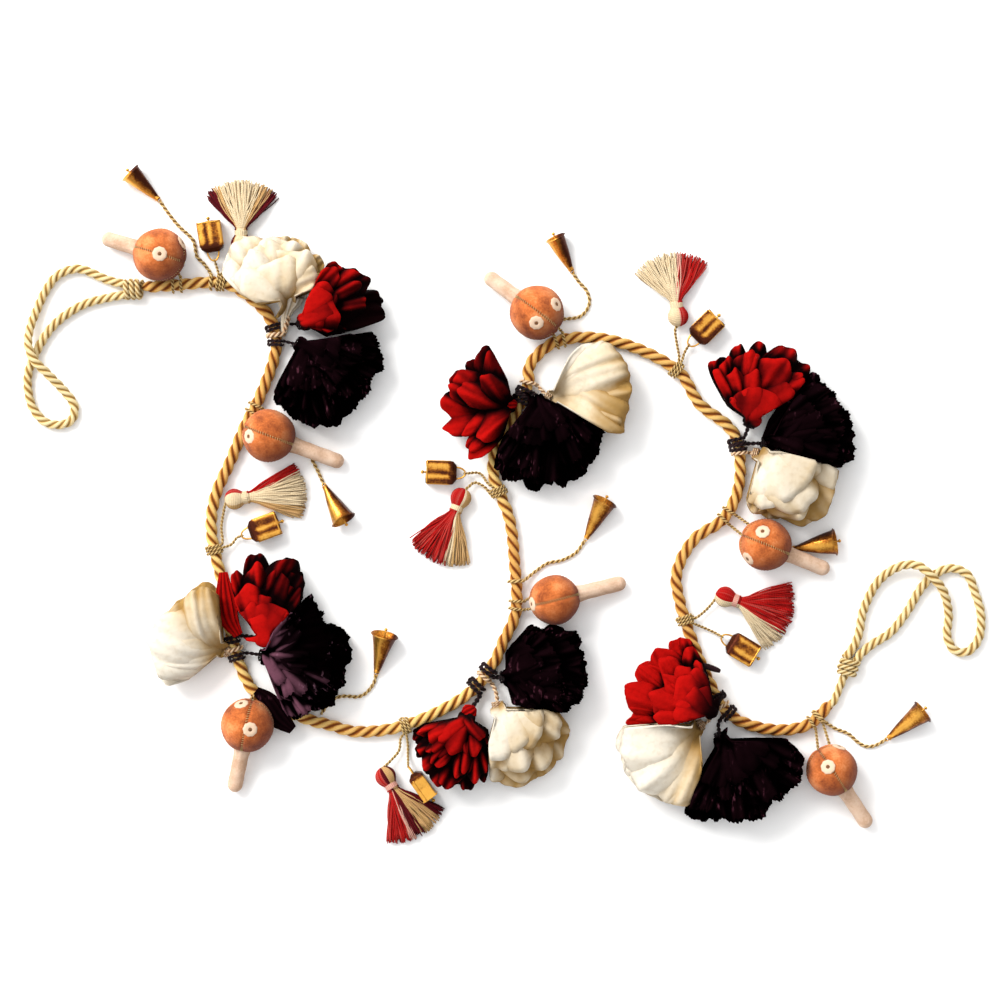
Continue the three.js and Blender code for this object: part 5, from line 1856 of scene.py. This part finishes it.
@dataclass(frozen=True)
class Studio:
    """A white table top in soft light from the upper left, seen straight from above."""

    view_width: float = 0.8
    look_at: tuple[float, float] = (-0.0036, 0.0056)
    camera_height: float = 2.6
    sensor: float = 36.0
    key_power: float = 235.0
    key_at: tuple[float, float, float] = (-2.5, 2.5, 3.0)
    key_size: float = 2.2
    sky_dark: float = 0.3
    sky_bright: float = 1.45

    def camera(self) -> None:
        """Sets the camera over the garland's middle."""
        data = bpy.data.cameras.new("view")
        data.sensor_width = self.sensor
        data.lens = self.sensor * (self.camera_height - 0.01) / self.view_width
        camera = bpy.data.objects.new("view", data)
        camera.location = (*self.look_at, self.camera_height)
        bpy.context.scene.collection.objects.link(camera)
        bpy.context.scene.camera = camera

    def floor(self) -> None:
        """Lays the table top."""
        floor = fresh(bpy.ops.mesh.primitive_plane_add, size=9, location=(0, 0, 0))
        floor.name = "table_top"
        graph = Graph("white table")
        floor.data.materials.append(graph.finish((0.98, 0.98, 0.98), 0.95, None, Specular_IOR_Level=0.1))

    def lights(self) -> None:
        """Hangs the key light and fills the sky."""
        data = bpy.data.lights.new("key", "AREA")
        data.energy, data.size, data.color = self.key_power, self.key_size, (1.0, 0.985, 0.955)
        key = bpy.data.objects.new("key", data)
        key.location = self.key_at
        key.rotation_euler = (-Vector(self.key_at)).to_track_quat("-Z", "Y").to_euler()
        bpy.context.scene.collection.objects.link(key)
        world = bpy.data.worlds.new("sky")
        world.use_nodes = True
        nodes, links = world.node_tree.nodes, world.node_tree.links
        towards = nodes.new("ShaderNodeVectorMath")
        towards.operation = "DOT_PRODUCT"
        towards.inputs[1].default_value = Vector(self.key_at).normalized()
        bright = nodes.new("ShaderNodeMapRange")
        bright.interpolation_type = "SMOOTHSTEP"
        for socket, value in zip(bright.inputs[1:5], (-0.45, 0.95, self.sky_dark, self.sky_bright)):
            socket.default_value = value
        links.new(nodes.new("ShaderNodeTexCoord").outputs["Generated"], towards.inputs[0])
        links.new(towards.outputs["Value"], bright.inputs["Value"])
        background = nodes["Background"]
        background.inputs[0].default_value = (1, 1, 1, 1)
        links.new(bright.outputs["Result"], background.inputs[1])
        bpy.context.scene.world = world
        bpy.context.scene.view_settings.view_transform = "Standard"


CREAM_THREAD, GOLD_THREAD, PINK_THREAD, RED_THREAD, MAROON_THREAD = 0.0, 0.25, 0.5, 0.75, 1.0

# Each pompom: its colour and number, its neck, where it is tied, its tie's radius and its way there.
POMPOMS = [
    (Hue.CREAM, 1, (-0.172, 0.166), (-0.184, 0.138), 0.0024,
     ((-0.173, 0.151, 0.011), (-0.1754, 0.1425, 0.0105))),
    (Hue.RED, 1, (-0.16, 0.147), (-0.183, 0.144), 0.0015,
     ((-0.171, 0.1466, 0.003), (-0.1785, 0.1464, 0.005))),
    (Hue.DARK, 1, (-0.162, 0.129), (-0.1835, 0.131), 0.0015, ()),
    (Hue.CREAM, 2, (-0.225, -0.114), (-0.2155, -0.114), 0.0021, ()),
    (Hue.RED, 2, (-0.191, -0.105), (-0.2175, -0.106), 0.0018, ()),
    (Hue.DARK, 2, (-0.191, -0.119), (-0.2145, -0.121), 0.0016, ()),
    (Hue.CREAM, 3, (-0.005, -0.161), (-0.016, -0.137), 0.002, ((-0.007, -0.148, 0.009),)),
    (Hue.RED, 3, (-0.031, -0.168), (-0.022, -0.1435), 0.0022, ()),
    (Hue.DARK, 3, (0.002, -0.136), (-0.0115, -0.131), 0.002, ()),
    (Hue.CREAM, 4, (0.037, 0.087), (0.0188, 0.099), 0.0018, ((0.03, 0.093, 0.009),)),
    (Hue.RED, 4, (0.006, 0.082), (0.0135, 0.086), 0.002, ()),
    (Hue.DARK, 4, (0.025, 0.086), (0.0165, 0.0925), 0.002, ()),
    (Hue.CREAM, 5, (0.204, 0.042), (0.187, 0.043), 0.0018, ()),
    (Hue.RED, 5, (0.197, 0.069), (0.1865, 0.053), 0.0018, ()),
    (Hue.DARK, 5, (0.211, 0.051), (0.187, 0.048), 0.0018, ()),
    (Hue.CREAM, 6, (0.154, -0.176), (0.1745, -0.1595), 0.0017, ((0.163, -0.172, 0.004),)),
    (Hue.RED, 6, (0.165, -0.163), (0.17, -0.152), 0.0018, ()),
    (Hue.DARK, 6, (0.173, -0.186), (0.179, -0.165), 0.0018, ((0.1715, -0.174, 0.005),)),
]
# Pompoms whose strips are fewer and larger than the others of their colour.
LARGE_PETALS = {"red_1": 1.25, "red_2": 1.2, "cream_1": 1.1, "cream_5": 1.1, "red_5": 1.25}
OWN_ROWS = {"red_4": FLOWER_ROWS, "cream_2": FAN_ROWS, "cream_4": FAN_ROWS, "cream_6": FAN_ROWS}

# Pompoms with painted shade towards one side and painted light on the other: the way of the shade in degrees,
# and how much.
PAINTED_SHADE_SIDES = {
    "red_1": (-30, 1.1), "red_2": (10, 0.7), "red_4": (30, 0.5), "red_6": (-12, 2.4), "dark_2": (20, 1.3),
    "cream_1": (-20, 0.3), "cream_2": (50, 0.9), "cream_4": (-20, 1.0), "cream_6": (-10, 1.1),
}

# What shows at a neck: its pompom and name, its route, its radii along it, its folds and their depth.
NECK_TRIMS = [
    (Hue.RED, 3, "bead", ((-0.034, -0.1665, 0.0105), (-0.0285, -0.164, 0.0113), (-0.0232, -0.1605, 0.0105)),
     (0.002, 0.0058, 0.0072, 0.0058, 0.002), 9, 0.2),
    (Hue.RED, 4, "bead", ((0.0012, 0.0822, 0.0125), (0.0056, 0.082, 0.0128), (0.0102, 0.0823, 0.0125)),
     (0.0018, 0.004, 0.0047, 0.004, 0.0018), 7, 0.15),
    (Hue.CREAM, 1, "stalk", ((-0.1712, 0.1695, 0.013), (-0.1735, 0.159, 0.0105), (-0.1758, 0.1475, 0.0085),
                             (-0.1762, 0.1405, 0.0075)),
     (0.0125, 0.0105, 0.0062, 0.0036, 0.0034, 0.003), 11, 0.25),
    (Hue.RED, 6, "stub", ((0.158, -0.1262, 0.0125), (0.165, -0.1285, 0.0128), (0.1722, -0.1312, 0.0105)),
     (0.0016, 0.0024, 0.0024, 0.0023, 0.0016), 0, 0.0),
    (Hue.DARK, 6, "gather", ((0.1755, -0.1975, 0.0135), (0.1735, -0.19, 0.012), (0.172, -0.1825, 0.0085)),
     (0.009, 0.0068, 0.0056, 0.0028), 13, 0.3),
    (Hue.DARK, 5, "gather", ((0.2185, 0.0525, 0.0125), (0.211, 0.051, 0.0105), (0.2045, 0.0498, 0.0085)),
     (0.0075, 0.0055, 0.0036, 0.0022), 11, 0.3),
    (Hue.DARK, 5, "fold", ((0.2075, 0.0535, 0.008), (0.217, 0.0655, 0.0105), (0.227, 0.077, 0.012),
                           (0.2364, 0.087, 0.011)), (0.0025, 0.0078, 0.0095, 0.006), 7, 0.25, 0.7),
    (Hue.DARK, 2, "flap", ((-0.1985, -0.1465, 0.0138), (-0.19, -0.1535, 0.0142), (-0.1795, -0.1685, 0.0142),
                           (-0.169, -0.178, 0.0138)), (0.0035, 0.0085, 0.0095, 0.004), 9, 0.3, 0.24),
    (Hue.RED, 2, "flap", ((-0.2245, -0.052, 0.0142), (-0.2228, -0.073, 0.0146), (-0.2195, -0.09, 0.0146),
                          (-0.2125, -0.1025, 0.0135)),
     (0.0035, 0.006, 0.0085, 0.009, 0.007, 0.004), 9, 0.3, 0.26),
]

# Each toadstool: its ball, its stem's end, where it is tied, and its ring dots.
TOADSTOOLS = [
    ((-0.275, 0.201), 0.0212, (-0.322, 0.216), (-0.262, 0.178), ((-0.2728, 0.2003), (-0.2564, 0.2104))),
    ((-0.188, 0.057), 0.0212, (-0.129, 0.035), (-0.201, 0.079), ((-0.2028, 0.056),)),
    ((-0.205, -0.174), 0.0212, (-0.217, -0.228), (-0.197, -0.152), ((-0.2012, -0.176), (-0.2092, -0.156))),
    ((0.04, -0.074), 0.02, (0.097, -0.06), (0.009, -0.078), ((0.0217, -0.0772),)),
    ((0.026, 0.155), 0.0216, (-0.015, 0.186), (0.045, 0.134), ((0.0412, 0.1608), (0.0252, 0.1456))),
    ((0.208, -0.03), 0.0208, (0.26, -0.051), (0.178, -0.007), ((0.2044, -0.0192), (0.1932, -0.0412))),
    ((0.261, -0.21), 0.0204, (0.292, -0.256), (0.248, -0.17), ((0.256, -0.2056), (0.2676, -0.1872))),
]

# Each cone bell: its mouth's middle, a point towards its tip, its length, its mouth's radius
# and where its painted highlight band lies.
CONES = [
    ((-0.299, 0.267), (-0.277, 0.246), 0.0304, 0.0084, -0.7),
    ((-0.129, -0.01), (-0.145, 0.018), 0.032, 0.0095, 0.4),
    ((-0.096, -0.103), (-0.103, -0.134), 0.032, 0.0099, -0.3),
    ((0.08, 0.004), (0.065, -0.026), 0.0336, 0.0095, -0.2),
    ((0.041, 0.215), (0.054, 0.189), 0.0294, 0.0078, -0.7),
    ((0.2636, -0.028), (0.232, -0.0334), 0.0346, 0.01, 0.2),
    ((0.334, -0.164), (0.307, -0.186), 0.035, 0.0094, -0.1),
]

# Each square bell: its mouth's middle, the way it points in degrees, and whether it lies on its edge.
SQUARES = [
    ((-0.2372, 0.2284), 99, False),
    ((-0.181, -0.0124), 20, False),
    ((-0.0588, -0.2328), -54.4, True),
    ((-0.0628, 0.028), 178, False),
    ((0.17, 0.1516), 44.6, False),
    ((0.201, -0.12), -31, False),
]

# Each tassel: its head, turn, half its fan, length, where it is tied, the ways of its two cords,
# and its bands of thread.
TASSELS = [
    ((-0.211, 0.211), 90, 40, 0.04, (-0.227, 0.179), ((-0.217, 0.199, 0.005), (-0.223, 0.189, 0.007)),
     ((-0.2305, 0.192, 0.006),),
     ((-0.8, MAROON_THREAD), (-0.55, GOLD_THREAD), (0.6, CREAM_THREAD), (0.74, GOLD_THREAD),
      (1, MAROON_THREAD))),
    ((-0.216, 0.0064), 8, 24, 0.046, (-0.2325, -0.035),
     ((-0.225, -0.003, 0.004), (-0.227, -0.016, 0.004), (-0.226, -0.029, 0.006)),
     ((-0.2145, -0.0246, 0.004), (-0.219, -0.03, 0.004)),
     ((-0.6, GOLD_THREAD), (0.6, CREAM_THREAD), (1, RED_THREAD))),
    ((-0.095, -0.216), -59, 31, 0.044, (-0.08, -0.174),
     ((-0.091, -0.203, 0.006), (-0.0845, -0.195, 0.004), (-0.083, -0.185, 0.006)),
     ((-0.0775, -0.199, 0.003), (-0.0775, -0.19, 0.003)),
     ((-0.3, RED_THREAD), (-0.22, PINK_THREAD), (0.12, MAROON_THREAD), (0.8, GOLD_THREAD),
      (1, MAROON_THREAD))),
    ((-0.035, 0.007), -112, 30, 0.044, (-0.004, 0.013),
     ((-0.029, 0.016, 0.006), (-0.024, 0.0195, 0.004), (-0.016, 0.016, 0.004)),
     ((-0.02, 0.027, 0.003), (-0.0135, 0.019, 0.01)),
     ((0.25, RED_THREAD), (0.5, CREAM_THREAD), (1, GOLD_THREAD))),
    ((0.139, 0.153), 98, 40, 0.04, (0.137, 0.11),
     ((0.137, 0.143, 0.006), (0.138, 0.132, 0.004), (0.14, 0.12, 0.005)),
     ((0.1445, 0.124, 0.004), (0.142, 0.117, 0.006)),
     ((-0.3, RED_THREAD), (-0.2, PINK_THREAD), (1, CREAM_THREAD))),
    ((0.177, -0.072), -20, 34, 0.045, (0.1445, -0.09),
     ((0.168, -0.075, 0.006), (0.16, -0.084, 0.004), (0.152, -0.089, 0.006)),
     ((0.167, -0.1, 0.003), (0.158, -0.096, 0.004)),
     ((-0.42, CREAM_THREAD), (1, RED_THREAD))),
]


@dataclass(frozen=True)
class Looks:
    """Every finish of the garland, built once."""

    rope: bpy.types.Material
    loop: bpy.types.Material
    bell_cord: bpy.types.Material
    pale_tie: bpy.types.Material
    dark_tie: bpy.types.Material
    cloth: dict
    lit_aubergine: bpy.types.Material
    cap: bpy.types.Material
    stem: bpy.types.Material
    ring: bpy.types.Material
    brass: bpy.types.Material
    yarn: bpy.types.Material


def make_looks() -> Looks:
    """Builds the finishes."""
    return Looks(
        rope=TwistFinish("golden rope", (0.2, 0.055, 0.005), (0.56, 0.25, 0.04), (0.86, 0.6, 0.21), 33,
                         0.0004, ageing=0.75).material(),
        loop=TwistFinish("straw loop", (0.34, 0.18, 0.045), (0.62, 0.43, 0.16), (0.8, 0.66, 0.37), 24,
                         0.0004).material(),
        bell_cord=TwistFinish("straw thread", (0.09, 0.035, 0.006), (0.38, 0.21, 0.05), (0.66, 0.47, 0.2),
                              14).material(),
        pale_tie=TwistFinish("pale tie", (0.22, 0.09, 0.035), (0.55, 0.34, 0.18), (0.74, 0.55, 0.36),
                             14).material(),
        dark_tie=TwistFinish("dark tie", (0.002, 0.0005, 0.001), (0.006, 0.002, 0.003), (0.02, 0.006, 0.008),
                             14).material(),
        cloth={
            Hue.CREAM: ClothFinish("cream cloth", (0.34, 0.2, 0.06), (0.56, 0.45, 0.3),
                                   (0.68, 0.62, 0.52)).material(),
            Hue.RED: ClothFinish("red cloth", (0.003, 0.0, 0.0003), (0.085, 0.001, 0.0012),
                                 (0.36, 0.0035, 0.0025), crumple=0.0022, gloss=0.03).material(),
            Hue.DARK: ClothFinish("aubergine cloth", (0.0004, 0.0001, 0.0002), (0.002, 0.0006, 0.001),
                                  (0.0055, 0.0015, 0.0024), (0.12, 0.035, 0.055), glints=0.9,
                                  weave_depth=0.0003, gloss=0.0).material(),
        },
        # a lit copy of the aubergine cloth with painted highlights, for the lit side of dark_2
        lit_aubergine=ClothFinish("mauve cloth", (0.0005, 0.0001, 0.0002), (0.004, 0.0014, 0.0022),
                          (0.12, 0.045, 0.068), (0.3, 0.14, 0.2), glints=0.8, weave_depth=0.0003,
                          gloss=0.0).material(),
        cap=StuffedFinish("terracotta cloth", (0.11, 0.013, 0.002), (0.55, 0.14, 0.03),
                          (0.8, 0.33, 0.12)).material(),
        stem=StuffedFinish("pale cloth", (0.42, 0.24, 0.14), (0.66, 0.46, 0.33),
                           (0.76, 0.6, 0.47)).material(),
        ring=TwistFinish("ring braid", (0.16, 0.07, 0.03), (0.48, 0.29, 0.18), (0.68, 0.5, 0.36),
                         12).material(),
        brass=BrassFinish().material(),
        yarn=YarnFinish("tassel thread", (
            (CREAM_THREAD, (0.8, 0.66, 0.43)), (GOLD_THREAD, (0.6, 0.37, 0.14)),
            (PINK_THREAD, (0.74, 0.4, 0.32)), (RED_THREAD, (0.46, 0.005, 0.004)),
            (MAROON_THREAD, (0.09, 0.003, 0.007)))).material(),
    )


def build_garland(looks: Looks) -> None:
    """Builds the garland: the cords first, and then what hangs on the rope.

    Args:
        looks: Its finishes.
    """
    rope = MainRope(looks.rope).build()
    EndLoop("loop_left", LEFT_LOOP, (-0.297, 0.1745), 0, looks.loop).build()
    EndLoop("loop_right", RIGHT_LOOP, (0.2755, -0.1275), 70, looks.loop, RIGHT_TAIL).build()
    for number, row in enumerate(CONES, 1):
        cone = ConeBell(number, *row, looks.brass)
        cone.build()
        if number in BELL_CORDS:
            BellCord(cone, looks.bell_cord, rope).build()
    squares = [SquareBell(number, *row, looks.brass) for number, row in enumerate(SQUARES, 1)]
    for square in squares:
        square.build()
    for square, row in zip(squares, TASSELS):
        Tassel(square.number, *row, square, looks.yarn, looks.bell_cord, rope).build()
    for number, row in enumerate(TOADSTOOLS, 1):
        Toadstool(number, *row, looks.cap, looks.stem, looks.ring, looks.bell_cord, rope).build()
    for hue, number, *place, way in POMPOMS:
        own = f"{hue.value}_{number}"
        Pompom(number, hue, *place, looks.lit_aubergine if own == "dark_2" else looks.cloth[hue],
               looks.pale_tie if hue is Hue.CREAM else looks.dark_tie, rope, way,
               stretch=LARGE_PETALS.get(own, 1.0), rows=OWN_ROWS.get(own),
               shade=PAINTED_SHADE_SIDES.get(own, Pompom.shade)).build()
    for hue, number, name, *shape in NECK_TRIMS:
        look = looks.dark_tie if name == "stub" else looks.cloth[hue]
        NeckTrim(f"pompom_{hue.value}_{number}_{name}", STYLES[hue].slot, look, *shape).build()


def main() -> None:
    """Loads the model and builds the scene."""
    logging.basicConfig(level=logging.INFO, format="%(message)s", stream=sys.stdout)
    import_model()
    studio = Studio()
    studio.camera()
    build_garland(make_looks())
    studio.floor()
    studio.lights()
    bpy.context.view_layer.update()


if __name__ == "__main__":
    main()
